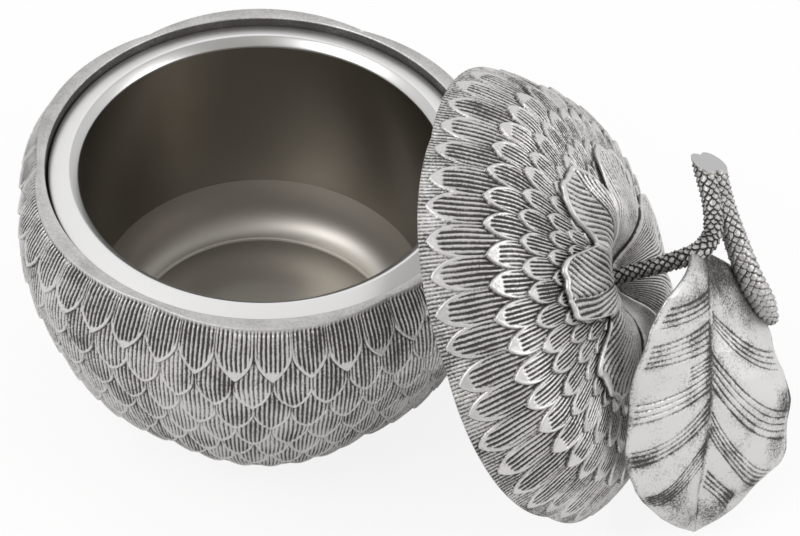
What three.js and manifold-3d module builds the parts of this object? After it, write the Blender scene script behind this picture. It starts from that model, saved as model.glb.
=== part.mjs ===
// A lidded storage pot shaped like a lobed apple, in antiqued cast metal. A double-walled steel
// insert drops into the shell. The lid has a calyx, a twig handle and a leaf, and it lies off the
// pot: it stands on its rim and leans on the shell's shoulder.
// Units are millimetres, +Z is up, and the origin is the centre of the pad that the pot stands on.

import * as THREE from 'three';
import { mergeVertices } from 'three/addons/utils/BufferGeometryUtils.js';
import Module from 'manifold-3d';

const wasm = await Module();
wasm.setup();

// Shared fits
const seatGap = 0.3;
const overrun = 5;
const mergeTolerance = 1e-4;
const roundSides = 48;

// Shell of the pot
const potHeight = 113;
const bellyRadius = 100;
const potWall = 3.4;
const potLobeDepth = 3.3;
const lipWidth = 4.7;
const lipEdge = 0.8;
const ledgeDrop = 7.5;
const ledgeWidth = 3.5;
const ledgeThickness = 4;
const potFloorThickness = 2.9;
const footLift = 0.8;

// Lobes that run down the shell and the lid alike
const lobeCount = 6;
const lobeTurn = THREE.MathUtils.degToRad(2);
const lobeSharpnessShare = 0.9;
const sidesPerLobe = 8;
const lobeSides = lobeCount * sidesPerLobe;

// Rows of overlapping scales, cast into the shell and the lid: they point down the shell and out on the lid
const scaleCount = 42;
const sidesPerScale = 4;
const scaleSides = scaleCount * sidesPerScale;
const scaleStep = 0.8;
const scaleEdge = 0.4;
const scaleDome = 0.3;
const scaleRiseShare = 0.06;
const scaleTipShare = 0.78;
const lipBand = 1.6;

// Felt pad under the foot
const padInset = 8.5;
const padThickness = 1.5;

// Steel insert
const sheet = 1;
const ringCrestInset = 7.5;
const mouthInset = 4;
const mouthDrop = 4.4;
const ringCrestDrop = 1.7;
const ringEdgeDrop = 3.7;
const ringGap = 1.2;
const bowlFootInset = 5.5;
const bowlCornerShare = 0.2545;
const floorSpace = 0.8;
const jacketLift = 4.5;
const jacketClearance = 2.5;

// Lid
const lidOverhang = 2.1;
const lidHeight = 43.4;
const lidWall = 3;
const lidLobeDepth = 3.4;
const lidFlangeThickness = 2;
const lidFlangeWidth = 2.5;
const lidEdge = 0.5;

// Pan that closes the lid from below, with a plug that enters the insert's mouth
const panSheet = 1;
const panSeatInset = 8.1;
const plugClearance = 1.1;
const plugDepth = 1.9;
const plugCorner = 1.2;

// Calyx under the handle
const calyxRadius = 53;
const calyxThickness = 2;
const calyxGap = 0.45;
const petalCount = 7;
const sidesPerPetal = 9;
const petalTurn = THREE.MathUtils.degToRad(24);
const petalNotchShare = 0.36;
const petalNotchPower = 6;

// Twig handle
const stalkHeight = 43.5;
const stalkRadius = 3.3;
const branchLength = 75;
const branchRadius = 5;
const cutTilt = THREE.MathUtils.degToRad(42);
const cutTurn = THREE.MathUtils.degToRad(18);

// Leaf
const leafLength = 120;
const leafWidth = 83;
const leafThickness = 2;
const leafArch = 2;

// Screw and washer that hold the handle from inside the lid
const screwRadius = 1.5;
const screwClearance = 0.3;
const screwGrip = 9;
const screwHeadRadius = 4;
const screwHeadHeight = 3;
const washerRadius = 6;
const washerThickness = 1.5;

// Lean of the lid beside the pot
const leanAngle = THREE.MathUtils.degToRad(60.4);
const leanHeading = THREE.MathUtils.degToRad(-14.7);
const leanSideShift = -12.4;

// Outlines as shares: of the belly's radius and the pot's height, then of the lid's rim and height
const footShare = 0.605;
const potOuterShares = [
  [0.64, 0.016], [0.742, 0.112], [0.846, 0.25], [0.915, 0.408], [0.975, 0.586],
  [1, 0.754], [0.986, 0.882], [0.957, 0.945], [0.932, 0.985], [0.905, 1],
];
const lidOuterShares = [
  [0.076, 0.76], [0.13, 0.845], [0.19, 0.942], [0.26, 0.993], [0.31, 1], [0.4, 0.957],
  [0.5, 0.89], [0.595, 0.825], [0.69, 0.755], [0.774, 0.673], [0.85, 0.54], [0.914, 0.36],
  [0.96, 0.2], [0.99, 0.055], [1, 0.012],
];
const footLobeShare = 0.5;

// Tips of the scales: shares of the pot's height down the shell, then of the rim's radius out on the lid
const potTipShares = [0.817, 0.68, 0.547, 0.421, 0.314, 0.221, 0.137];
const lidTipShares = [0.497, 0.606, 0.749, 0.875, 0.984];
const crownSpans = 5;
const skinSteps = 90;

// The stalk's course: shares of the branch's length across, and of the stalk's height up
const stalkCourseShares = [
  [0, 0, -0.03], [-0.02, 0, 0.318], [-0.038, -0.008, 0.557], [-0.05, 0.022, 0.825], [-0.065, 0.106, 0.917],
  [-0.13, 0.19, 0.957], [-0.227, 0.272, 0.983], [-0.327, 0.353, 1.002], [-0.4, 0.415, 1.02],
];
const stalkThicknessShares = [1.03, 1, 0.98, 1.08, 1.16, 1.12, 1.12, 1.24, 1.32];
const branchCourseShares = [
  [-0.365, 0.475, 1.067], [-0.298, 0.417, 1.059], [-0.164, 0.325, 1.055], [-0.025, 0.244, 1.055],
  [0.144, 0.193, 1.05], [0.33, 0.162, 1.04], [0.505, 0.187, 1.02], [0.645, 0.207, 1],
  [0.69, 0.213, 0.992],
];
const branchThicknessShares = [0.86, 0.84, 0.8, 0.87, 0.94, 0.99, 1.02, 0.98, 0.6];
const cutPlaceShares = [-0.3, 0.385, 1.045];

// The leaf's course as shares of its length, its half widths as shares of its width along the way,
// and the roll of each half in degrees
const leafRootShares = [-0.027, 0.04, 0.815];
const leafCourseShares = [
  [0, 0, 0], [0.067, -0.025, 0.017], [0.12, -0.067, 0.021], [0.186, -0.133, 0.003],
  [0.256, -0.2, -0.019], [0.416, -0.3, -0.073], [0.588, -0.35, -0.15], [0.7, -0.367, -0.22],
  [0.864, -0.383, -0.314],
];
const leafPlaceShares = [
  0, 0.07, 0.135, 0.226, 0.32, 0.41, 0.507, 0.6, 0.69, 0.76, 0.82, 0.9, 0.96, 1,
];
const leafLeftShares = [
  0.06, 0.25, 0.41, 0.475, 0.482, 0.495, 0.51, 0.5, 0.472, 0.42, 0.352, 0.235, 0.12, 0.01,
];
const leafRightShares = [
  0.06, 0.28, 0.44, 0.47, 0.41, 0.452, 0.475, 0.478, 0.476, 0.456, 0.405, 0.272, 0.14, 0.01,
];
const leafLeftRollDegrees = [5, 7, 10, 18, 26, 29, 31, 31, 31, 30, 30, 30, 30, 30];
const leafRightRollDegrees = [0, 0, 0, 6, 20, 26, 28, 29, 29, 29, 29, 29, 29, 29];
const leafHeading = THREE.MathUtils.degToRad(46);
const leafWaves = 4.5;
const leafWaveShare = 0.012;

// Finishes
const castMetal = { color: 0x8b8c8e, roughness: 0.38, metalness: 0.95 };
const twigMetal = { color: 0x77746f, roughness: 0.45, metalness: 0.95 };
const leafMetal = { color: 0xa5a6a7, roughness: 0.33, metalness: 0.95 };
const steel = { color: 0xb9bab8, roughness: 0.2, metalness: 1 };
const screwSteel = { color: 0x9c9ea0, roughness: 0.35, metalness: 1 };
const felt = { color: 0x2b2c2e, roughness: 0.95, metalness: 0 };

// Solids

function closed(geometry) {
  const bare = geometry.clone();
  bare.deleteAttribute('normal');
  bare.deleteAttribute('uv');
  const merged = mergeVertices(bare, mergeTolerance);
  const kept = [];
  const index = merged.index.array;
  for (let i = 0; i < index.length; i += 3) {
    const [a, b, c] = [index[i], index[i + 1], index[i + 2]];
    if (a !== b && b !== c && c !== a) kept.push(a, b, c);
  }
  merged.setIndex(kept);
  if (volume(merged) < 0) {
    for (let i = 0; i < kept.length; i += 3) [kept[i], kept[i + 1]] = [kept[i + 1], kept[i]];
    merged.setIndex(kept);
  }
  return merged;
}

function volume(geometry) {
  const place = geometry.getAttribute('position');
  const index = geometry.index.array;
  const [a, b, c] = [new THREE.Vector3(), new THREE.Vector3(), new THREE.Vector3()];
  let sum = 0;
  for (let i = 0; i < index.length; i += 3) {
    a.fromBufferAttribute(place, index[i]);
    b.fromBufferAttribute(place, index[i + 1]);
    c.fromBufferAttribute(place, index[i + 2]);
    sum += a.dot(b.cross(c)) / 6;
  }
  return sum;
}

function toManifold(geometry) {
  const merged = closed(geometry);
  return new wasm.Manifold(new wasm.Mesh({
    numProp: 3,
    vertProperties: new Float32Array(merged.getAttribute('position').array),
    triVerts: new Uint32Array(merged.index.array),
  }));
}

function fromManifold(manifold) {
  const mesh = manifold.getMesh();
  const geometry = new THREE.BufferGeometry();
  geometry.setAttribute('position', new THREE.BufferAttribute(new Float32Array(mesh.vertProperties), 3));
  geometry.setIndex(Array.from(mesh.triVerts));
  return geometry;
}

// Curves and tables

function between(places, values, place) {
  const last = places.length - 1;
  let i = 0;
  while (i < last - 1 && place > places[i + 1]) i += 1;
  const share = (place - places[i]) / (places[i + 1] - places[i]);
  return THREE.MathUtils.lerp(values[i], values[i + 1], THREE.MathUtils.clamp(share, 0, 1));
}

function evenly(values, share) {
  const places = values.map((value, i) => i / (values.length - 1));
  return between(places, values, share);
}

function outline(shares, radius, height, steps) {
  const points = shares.map(([across, up]) => new THREE.Vector2(across * radius, up * height));
  return new THREE.SplineCurve(points).getPoints(steps);
}

// Moves an outline inwards by a wall, square to its own run
function inwards(points, wall) {
  return points.map((point, i) => {
    const before = points[Math.max(i - 1, 0)];
    const after = points[Math.min(i + 1, points.length - 1)];
    const run = after.clone().sub(before).normalize();
    return new THREE.Vector2(point.x - run.y * wall, point.y + run.x * wall);
  });
}

// Lathed pieces

function lathe(points, sides) {
  const geometry = new THREE.LatheGeometry(points, sides);
  return geometry.rotateX(Math.PI / 2);
}

function lobe(angle) {
  return 1 - Math.abs(Math.sin((angle - lobeTurn) * lobeCount / 2)) ** lobeSharpnessShare;
}

// A lathed solid whose rows draw in at the lobes' valleys. A row is a radius, a height and its share of
// the depth there
function lobedLathe(rows, depthAt) {
  const points = rows.map(([across, up]) => new THREE.Vector2(across, up));
  const depths = rows.map(([across, up, share]) => share * depthAt(across));
  const geometry = lathe(points, lobeSides).rotateZ(lobeTurn);
  const place = geometry.getAttribute('position');
  for (let i = 0; i < place.count; i += 1) {
    const angle = Math.atan2(place.getY(i), place.getX(i));
    const radius = Math.hypot(place.getX(i), place.getY(i));
    if (radius > 0) {
      const drawn = radius - depths[i % points.length] * lobe(angle);
      place.setX(i, drawn * Math.cos(angle));
      place.setY(i, drawn * Math.sin(angle));
    }
  }
  return geometry;
}

// Scales

// A closed skin round +Z through rings, each a function from a side's number and angle to its radius and height
function skin(rings) {
  const spans = rings.length - 1;
  const geometry = new THREE.CylinderGeometry(1, 1, 1, scaleSides, spans);
  const place = geometry.getAttribute('position');
  for (let i = 0; i < place.count; i += 1) {
    const turn = Math.atan2(place.getX(i), place.getZ(i)) / (2 * Math.PI);
    const side = (Math.round(turn * scaleSides) + scaleSides) % scaleSides;
    const angle = lobeTurn + side / scaleSides * 2 * Math.PI;
    const onRing = Math.round(Math.hypot(place.getX(i), place.getZ(i)));
    const [radius, height] = rings[Math.round((0.5 - place.getY(i)) * spans)](side, angle);
    place.setXYZ(i, onRing * radius * Math.cos(angle), onRing * radius * Math.sin(angle), height);
  }
  return geometry;
}

function runsOf(points) {
  const runs = [0];
  for (let i = 1; i < points.length; i += 1) runs.push(runs[i - 1] + points[i].distanceTo(points[i - 1]));
  return runs;
}

// The rings of rows of scales over an outline that runs down and out. A row has a ring along its tips, and
// a second one just past them, sunk onto the next row. Plain rings and sunk ones can come before the rows.
function scaledRings(points, depthAt, plainRuns, sunkRuns, tipRuns) {
  const runs = runsOf(points);
  const end = runs[runs.length - 1];
  const acrossAt = (run) => between(runs, points.map((point) => point.x), run);
  const upAt = (run) => between(runs, points.map((point) => point.y), run);

  const spotAt = (run) => new THREE.Vector2(acrossAt(run), upAt(run));

  // A ring at a run for each side, sunk square to the outline by a depth for each side
  function ringAt(runAt, sunkAt) {
    return (side, angle) => {
      const spot = spotAt(runAt(side));
      const ahead = spotAt(runAt(side) + scaleEdge).sub(spotAt(runAt(side) - scaleEdge)).normalize();
      const drawn = spot.x - depthAt(spot.x) * lobe(angle);
      return [drawn + ahead.y * sunkAt(side), spot.y - ahead.x * sunkAt(side)];
    };
  }

  const nextTip = (i) => (i < tipRuns.length ? tipRuns[i] : end);
  const rings = plainRuns.map((run) => ringAt(() => run, () => 0));
  sunkRuns.forEach((run) => rings.push(ringAt(() => run, () => scaleRiseShare * (tipRuns[0] - run))));
  tipRuns.forEach((tip, i) => {
    const stagger = (tipRuns.length - i) % 2 / 2;
    const tipLength = scaleTipShare * 2 * Math.PI * acrossAt(tip) / scaleCount;
    const offCentre = (side) => {
      const place = side / sidesPerScale - stagger;
      return Math.abs(place - Math.round(place)) * 2;
    };
    const edgeAt = (side) => tip - tipLength * (1 - Math.sqrt(1 - offCentre(side)));
    const ownSunk = (side) => scaleRiseShare * (tip - edgeAt(side)) + scaleDome * offCentre(side) ** 2;
    const nextSunk = (side) => scaleDome * (1 - offCentre(side)) ** 2
      + Math.max(scaleStep, scaleRiseShare * (nextTip(i + 1) - edgeAt(side)));
    rings.push(ringAt(edgeAt, ownSunk));
    rings.push(ringAt((side) => edgeAt(side) + scaleEdge, nextSunk));
  });
  rings.push(ringAt(() => end, () => 0));
  return rings;
}

// Pot

const footRadius = footShare * bellyRadius;
const padRadius = footRadius - padInset;
const padRecessTop = padThickness + seatGap;
const potFloorTop = padRecessTop + potFloorThickness;
const lipOuterRadius = potOuterShares[potOuterShares.length - 1][0] * bellyRadius;
const lipInnerRadius = lipOuterRadius - lipWidth - lipEdge;
const ledgeHeight = potHeight - ledgeDrop;
const ledgeInnerRadius = lipInnerRadius - ledgeWidth;

function potLobeDepthAt() {
  return potLobeDepth;
}

function potSkin() {
  const points = outline(potOuterShares, bellyRadius, potHeight, skinSteps).reverse();
  const fallen = points.map((point) => potHeight - point.y);
  const tipRuns = potTipShares.map((share) => between(fallen, runsOf(points), (1 - share) * potHeight));
  const footRing = (side, angle) => [footRadius - footLobeShare * potLobeDepth * lobe(angle), footLift];
  return skin([...scaledRings(points, potLobeDepthAt, [0], [lipBand], tipRuns), footRing]);
}

function potShell() {
  const ledgeUnderside = ledgeHeight - ledgeThickness;
  const inner = inwards(outline(potOuterShares, bellyRadius, potHeight, 9), potWall)
    .filter((point) => point.y < ledgeUnderside - potWall && point.y > potFloorTop + potWall / 2);
  const room = [
    [0, potFloorTop, 0],
    [footRadius, potFloorTop, 0],
    ...inner.map((point) => [point.x, point.y, 1]),
    [ledgeInnerRadius, ledgeUnderside, 0],
    [ledgeInnerRadius, ledgeHeight, 0],
    [lipInnerRadius, ledgeHeight, 0],
    [lipInnerRadius, potHeight - lipEdge, 0],
    [lipInnerRadius + lipEdge + overrun, potHeight + overrun, 0],
    [0, potHeight + overrun, 0],
  ];
  const recess = [
    [0, padRecessTop, 0],
    [padRadius + seatGap, padRecessTop, 0],
    [padRadius + seatGap, footLift - overrun, 0],
    [0, footLift - overrun, 0],
  ];
  const [roomSolid, recessSolid] = [room, recess].map((rows) => toManifold(lobedLathe(rows, potLobeDepthAt)));
  return fromManifold(toManifold(potSkin()).subtract(roomSolid).subtract(recessSolid));
}

function basePad() {
  const pad = new THREE.CylinderGeometry(padRadius, padRadius, padThickness, roundSides);
  return pad.rotateX(Math.PI / 2).translate(0, 0, padThickness / 2);
}

// Insert

const mouthHeight = potHeight - mouthDrop;
const ringCrestHeight = potHeight - ringCrestDrop;
const ringEdgeHeight = potHeight - ringEdgeDrop;
const ringOuterRadius = lipInnerRadius - ringGap;
const ringCrestRadius = ringOuterRadius - ringCrestInset;
const mouthRadius = ringCrestRadius - mouthInset;
const skirtHeight = ledgeHeight + seatGap;
const jacketFloor = potFloorTop + jacketLift;
const bowlFloor = jacketFloor + sheet + floorSpace + sheet;
const bowlFloorRadius = footRadius - bowlFootInset;
const bowlCornerRadius = bowlFloorRadius * bowlCornerShare;
const jacketRadius = ledgeInnerRadius - jacketClearance;

// The run of a cup from its centre, round its corner and up to a radius and height
function cup(floorRadius, floor, corner, topRadius, top) {
  const arcSteps = 2;
  const path = new THREE.Path();
  path.moveTo(0, floor);
  path.lineTo(floorRadius, floor);
  path.absarc(floorRadius, floor + corner, corner, -Math.PI / 2, 0, false);
  path.lineTo(topRadius, top);
  return path.getPoints(arcSteps);
}

function linerBowl() {
  const inside = cup(bowlFloorRadius, bowlFloor, bowlCornerRadius, mouthRadius, mouthHeight);
  const corner = bowlCornerRadius + sheet;
  const brim = mouthHeight - sheet / 2;
  const outside = cup(bowlFloorRadius, bowlFloor - sheet, corner, mouthRadius + sheet, brim).reverse();
  const rim = [
    new THREE.Vector2(ringCrestRadius, ringCrestHeight),
    new THREE.Vector2(ringOuterRadius - sheet / 2, ringEdgeHeight),
    new THREE.Vector2(ringOuterRadius, ringEdgeHeight - sheet / 2),
    new THREE.Vector2(ringOuterRadius, skirtHeight),
    new THREE.Vector2(ringOuterRadius - sheet, skirtHeight),
    new THREE.Vector2(ringOuterRadius - sheet, ringEdgeHeight - sheet),
    new THREE.Vector2(ringCrestRadius, ringCrestHeight - sheet),
  ];
  return lathe([...inside, ...rim, ...outside], roundSides);
}

function linerJacket() {
  const slope = (ringCrestHeight - ringEdgeHeight) / (ringOuterRadius - ringCrestRadius);
  const top = ringCrestHeight - sheet - (jacketRadius - ringCrestRadius) * slope - seatGap;
  const corner = bowlCornerRadius + sheet + floorSpace;
  const inside = cup(bowlFloorRadius, jacketFloor + sheet, corner, jacketRadius - sheet, top);
  const outside = cup(bowlFloorRadius, jacketFloor, corner + sheet, jacketRadius, top).reverse();
  return lathe([...inside, ...outside], roundSides);
}

// Lid, in its own frame: its rim lies in the plane at zero and its crown points up

const screwHoleRadius = screwRadius + screwClearance;
const lidRimRadius = lipOuterRadius + lidOverhang;
const panSeatRadius = lidRimRadius - panSeatInset;
const lidOutline = outline(lidOuterShares, lidRimRadius, lidHeight, 14);
const dimpleRadius = lidOutline[0].x;
const dimpleHeight = lidOutline[0].y;
const panSeatHeight = seatGap + panSheet + seatGap;

function lidLobeDepthAt(radius) {
  return lidLobeDepth * (radius / lidRimRadius) ** 2;
}

function lidHeightAt(radius, angle) {
  const before = radius + lidLobeDepthAt(radius) * lobe(angle);
  return between(lidOutline.map((point) => point.x), lidOutline.map((point) => point.y), before);
}

function lidSkin() {
  const points = outline(lidOuterShares, lidRimRadius, lidHeight, skinSteps);
  const across = points.map((point) => point.x);
  const runAtRadius = (radius) => between(across, runsOf(points), radius);
  const crownRuns = lidOutline.slice(0, crownSpans + 1).map((point) => runAtRadius(point.x));
  const tipRuns = lidTipShares.map((share) => runAtRadius(share * lidRimRadius));
  const rim = lidRimRadius - lidEdge;
  const rimRing = (side, angle) => [rim - lidLobeDepthAt(rim) * lobe(angle), 0];
  return skin([...scaledRings(points, lidLobeDepthAt, crownRuns, [], tipRuns), rimRing]);
}

function lidShell() {
  const flangeTop = panSeatHeight + lidFlangeThickness;
  const inner = inwards(outline(lidOuterShares, lidRimRadius, lidHeight, 9), -lidWall)
    .filter((point) => point.y > flangeTop + lidWall / 2)
    .reverse();
  const rows = [
    [0, -overrun, 0],
    [panSeatRadius, -overrun, 0],
    [panSeatRadius, panSeatHeight, 0],
    [panSeatRadius - lidFlangeWidth, panSeatHeight, 0],
    [panSeatRadius - lidFlangeWidth, flangeTop, 0],
    ...inner.map((point) => [point.x, point.y, 1]),
    [screwHoleRadius, dimpleHeight - lidWall, 0],
    [screwHoleRadius, dimpleHeight + overrun, 0],
    [0, dimpleHeight + overrun, 0],
  ];
  const hollow = lobedLathe(rows, lidLobeDepthAt);
  return fromManifold(toManifold(lidSkin()).subtract(toManifold(hollow)));
}

function lidInnerPan() {
  const plugRadius = mouthRadius - plugClearance;
  const flangeRadius = panSeatRadius - seatGap;
  const rows = [
    [0, -plugDepth],
    [plugRadius - plugCorner, -plugDepth],
    [plugRadius, plugCorner - plugDepth],
    [plugRadius, seatGap],
    [flangeRadius, seatGap],
    [flangeRadius, seatGap + panSheet],
    [plugRadius - panSheet, seatGap + panSheet],
    [plugRadius - panSheet, plugCorner + panSheet / 2 - plugDepth],
    [plugRadius - plugCorner - panSheet / 2, panSheet - plugDepth],
    [0, panSheet - plugDepth],
  ];
  return lathe(rows.map(([across, up]) => new THREE.Vector2(across, up)), roundSides);
}

function petalReach(angle) {
  const away = Math.abs(Math.sin((angle - petalTurn) * petalCount / 2)) ** petalNotchPower;
  return calyxRadius * (1 - petalNotchShare * away);
}

// The calyx lies on the crown: a plate over the dome, cut by the dome raised by the gap
function calyx() {
  const rings = 8;
  const shares = Array.from({ length: rings + 1 }, (unused, i) => i / rings);
  const points = [
    ...shares.map((share) => new THREE.Vector2(1 + share, 1)),
    new THREE.Vector2(2, 0),
    new THREE.Vector2(1, 0),
    new THREE.Vector2(1, 1),
  ];
  const plate = lathe(points, petalCount * sidesPerPetal);
  const place = plate.getAttribute('position');
  for (let i = 0; i < place.count; i += 1) {
    const angle = Math.atan2(place.getY(i), place.getX(i));
    const share = Math.hypot(place.getX(i), place.getY(i)) - 1;
    const radius = between([0, 1 / rings, 1], [screwHoleRadius, dimpleRadius, petalReach(angle)], share);
    const top = lidHeightAt(radius, angle) + calyxGap + calyxThickness;
    const height = place.getZ(i) > 0.5 ? top : 0;
    place.setXYZ(i, radius * Math.cos(angle), radius * Math.sin(angle), height);
  }
  const rim = lidOutline[lidOutline.length - 1].x;
  const rows = [
    [0, dimpleHeight, 0],
    ...lidOutline.map((point) => [point.x, point.y, 1]),
    [rim, -lidHeight, 1],
    [0, -lidHeight, 0],
  ];
  const dome = lobedLathe(rows, lidLobeDepthAt).translate(0, 0, calyxGap);
  return fromManifold(toManifold(plate).subtract(toManifold(dome)));
}

// Handle

const stalkFoot = dimpleHeight + calyxGap + calyxThickness + seatGap;

function handlePoint([alongX, alongY, up]) {
  return new THREE.Vector3(alongX * branchLength, alongY * branchLength, stalkFoot + up * stalkHeight);
}

// A round limb along a smooth course, thick as its table says, with its own end faces
function limb(course, radiusAt, steps, sides) {
  const geometry = new THREE.CylinderGeometry(1, 1, 1, sides, steps);
  const frames = course.computeFrenetFrames(steps, false);
  const place = geometry.getAttribute('position');
  for (let i = 0; i < place.count; i += 1) {
    const share = place.getY(i) + 0.5;
    const step = Math.round(share * steps);
    const spot = course.getPointAt(share);
    const radius = radiusAt(share);
    spot.addScaledVector(frames.normals[step], place.getX(i) * radius);
    spot.addScaledVector(frames.binormals[step], place.getZ(i) * radius);
    place.setXYZ(i, spot.x, spot.y, spot.z);
  }
  return geometry;
}

function twigSolid(extra) {
  const sides = 12;
  const stalkCourse = new THREE.CatmullRomCurve3(stalkCourseShares.map(handlePoint));
  const branchCourse = new THREE.CatmullRomCurve3(branchCourseShares.map(handlePoint));
  const stalkRadiusAt = (share) => evenly(stalkThicknessShares, share) * stalkRadius + extra;
  const branchRadiusAt = (share) => evenly(branchThicknessShares, share) * branchRadius + extra;
  const stalk = toManifold(limb(stalkCourse, stalkRadiusAt, 16, sides));
  const branch = toManifold(limb(branchCourse, branchRadiusAt, 14, sides));
  return stalk.add(branch).trimByPlane([0, 0, 1], stalkFoot);
}

// The polished end is a flat cut across both limbs, tilted
function cutBlock() {
  const reach = branchLength / 2;
  const block = new THREE.BoxGeometry(reach, reach, reach);
  const away = handlePoint(stalkCourseShares[8]).sub(handlePoint(stalkCourseShares[6])).normalize();
  block.translate(reach / 2, 0, 0);
  block.rotateY(-cutTilt);
  block.rotateZ(Math.atan2(away.y, away.x) + cutTurn);
  const spot = handlePoint(cutPlaceShares);
  return block.translate(spot.x, spot.y, spot.z);
}

function twigHandle() {
  const depth = screwGrip + seatGap;
  const bore = new THREE.CylinderGeometry(screwHoleRadius, screwHoleRadius, depth + overrun, 16);
  bore.rotateX(Math.PI / 2).translate(0, 0, stalkFoot + (depth - overrun) / 2);
  return fromManifold(twigSolid(0).subtract(toManifold(cutBlock())).subtract(toManifold(bore)));
}

// Leaf: a thin curved plate along its midrib, each half rolled by its own angle, with a wavy margin
function leafSpot(share, across, course) {
  const left = across < 0;
  const halfWidth = between(leafPlaceShares, left ? leafLeftShares : leafRightShares, share) * leafWidth;
  const rollTable = left ? leafLeftRollDegrees : leafRightRollDegrees;
  const roll = THREE.MathUtils.degToRad(between(leafPlaceShares, rollTable, share));
  const side = new THREE.Vector3(
    Math.cos(leafHeading) * Math.cos(roll), Math.sin(leafHeading) * Math.cos(roll), Math.sin(roll),
  );
  const up = course.getTangentAt(share).cross(side).normalize();
  const fullness = Math.min(1, halfWidth / (leafWidth / 4));
  const wave = Math.sin(share * leafWaves * 2 * Math.PI) * leafWaveShare * leafWidth * across ** 2;
  const arch = leafArch * fullness * Math.sin(Math.abs(across) * Math.PI) + wave * fullness;
  const spot = course.getPointAt(share).addScaledVector(side, across * halfWidth).addScaledVector(up, arch);
  return { spot, up };
}

function leaf() {
  const root = handlePoint(leafRootShares);
  const spots = leafCourseShares.map((shares) => new THREE.Vector3(...shares));
  spots.forEach((spot) => spot.multiplyScalar(leafLength).add(root));
  const course = new THREE.CatmullRomCurve3(spots);
  const geometry = new THREE.BoxGeometry(1, 1, 1, 20, 8, 1);
  const place = geometry.getAttribute('position');
  for (let i = 0; i < place.count; i += 1) {
    const { spot, up } = leafSpot(place.getX(i) + 0.5, place.getY(i) * 2, course);
    spot.addScaledVector(up, place.getZ(i) * leafThickness);
    place.setXYZ(i, spot.x, spot.y, spot.z);
  }
  const cut = toManifold(geometry).subtract(twigSolid(seatGap));
  const pieces = cut.decompose().sort((a, b) => b.volume() - a.volume());
  return fromManifold(pieces[0]);
}

// Fasteners

const washerTop = dimpleHeight - lidWall - seatGap;

function handleWasher() {
  const rows = [
    [screwHoleRadius, washerTop - washerThickness],
    [washerRadius, washerTop - washerThickness],
    [washerRadius, washerTop],
    [screwHoleRadius, washerTop],
    [screwHoleRadius, washerTop - washerThickness],
  ];
  return lathe(rows.map(([across, up]) => new THREE.Vector2(across, up)), 24);
}

function handleScrew() {
  const headTop = washerTop - washerThickness - seatGap;
  const rows = [
    [0, headTop - screwHeadHeight],
    [screwHeadRadius, headTop - screwHeadHeight],
    [screwHeadRadius, headTop],
    [screwRadius, headTop],
    [screwRadius, stalkFoot + screwGrip],
    [0, stalkFoot + screwGrip],
  ];
  return lathe(rows.map(([across, up]) => new THREE.Vector2(across, up)), 16);
}

// Assembly

function piece(name, geometry, finish) {
  const mesh = new THREE.Mesh(closed(geometry), new THREE.MeshStandardMaterial(finish));
  mesh.name = name;
  return mesh;
}

const pot = new THREE.Group();
const potShellPiece = piece('pot_shell', potShell(), castMetal);
pot.add(potShellPiece, piece('base_pad', basePad(), felt));

const liner = new THREE.Group();
liner.add(piece('liner_bowl', linerBowl(), steel), piece('liner_jacket', linerJacket(), steel));

const lid = new THREE.Group();
lid.add(
  piece('lid_shell', lidShell(), castMetal),
  piece('lid_inner_pan', lidInnerPan(), steel),
  piece('calyx', calyx(), castMetal),
  piece('twig_handle', twigHandle(), twigMetal),
  piece('leaf', leaf(), leafMetal),
  piece('handle_washer', handleWasher(), screwSteel),
  piece('handle_screw', handleScrew(), screwSteel),
);

// The lid stands on the floor at its lowest point, and its plug's face lies a gap off the shell's shoulder
function furthest(mesh, direction) {
  const place = mesh.geometry.getAttribute('position');
  const spot = new THREE.Vector3();
  let most = -Infinity;
  for (let i = 0; i < place.count; i += 1) {
    spot.fromBufferAttribute(place, i);
    most = Math.max(most, spot.dot(direction));
  }
  return most;
}

const leaned = new THREE.Group();
leaned.add(lid);
leaned.rotation.z = leanHeading;
lid.rotation.y = leanAngle;
leaned.updateMatrixWorld(true);
const lidAxis = new THREE.Vector3(0, 0, 1).transformDirection(lid.matrixWorld);
const lidLift = -new THREE.Box3().setFromObject(lid, true).min.z;
const planeReach = furthest(potShellPiece, lidAxis) + seatGap + plugDepth;
lid.position.set(
  (planeReach - lidLift * Math.cos(leanAngle)) / Math.sin(leanAngle),
  leanSideShift,
  lidLift,
);

const storagePot = new THREE.Group();
storagePot.add(pot, liner, leaned);
storagePot.updateMatrixWorld(true);

export default storagePot;
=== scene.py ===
# The looks of a lobed, apple-shaped lidded pot: cast relief, bark, veins and finishes.
# Pieces are drawn in millimetres and become metres where their mesh is made. The stage is in metres.
# +Z is up, and the origin is under the pot's foot.
import math
from collections import namedtuple

import bmesh
import bpy
import numpy as np
from mathutils import Matrix, Vector


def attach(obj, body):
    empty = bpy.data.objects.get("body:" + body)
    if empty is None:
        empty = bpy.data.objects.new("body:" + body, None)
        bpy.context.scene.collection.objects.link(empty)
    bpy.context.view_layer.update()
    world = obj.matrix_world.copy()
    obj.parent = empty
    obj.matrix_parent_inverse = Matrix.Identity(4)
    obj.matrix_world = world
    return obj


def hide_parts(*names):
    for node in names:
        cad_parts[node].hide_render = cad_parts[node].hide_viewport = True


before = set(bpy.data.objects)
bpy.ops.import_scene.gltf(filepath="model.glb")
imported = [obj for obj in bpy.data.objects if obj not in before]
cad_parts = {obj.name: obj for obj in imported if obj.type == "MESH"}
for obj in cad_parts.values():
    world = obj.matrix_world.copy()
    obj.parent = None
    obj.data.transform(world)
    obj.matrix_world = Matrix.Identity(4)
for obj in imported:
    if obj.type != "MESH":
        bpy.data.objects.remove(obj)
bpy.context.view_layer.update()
MM = 0.001

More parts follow.
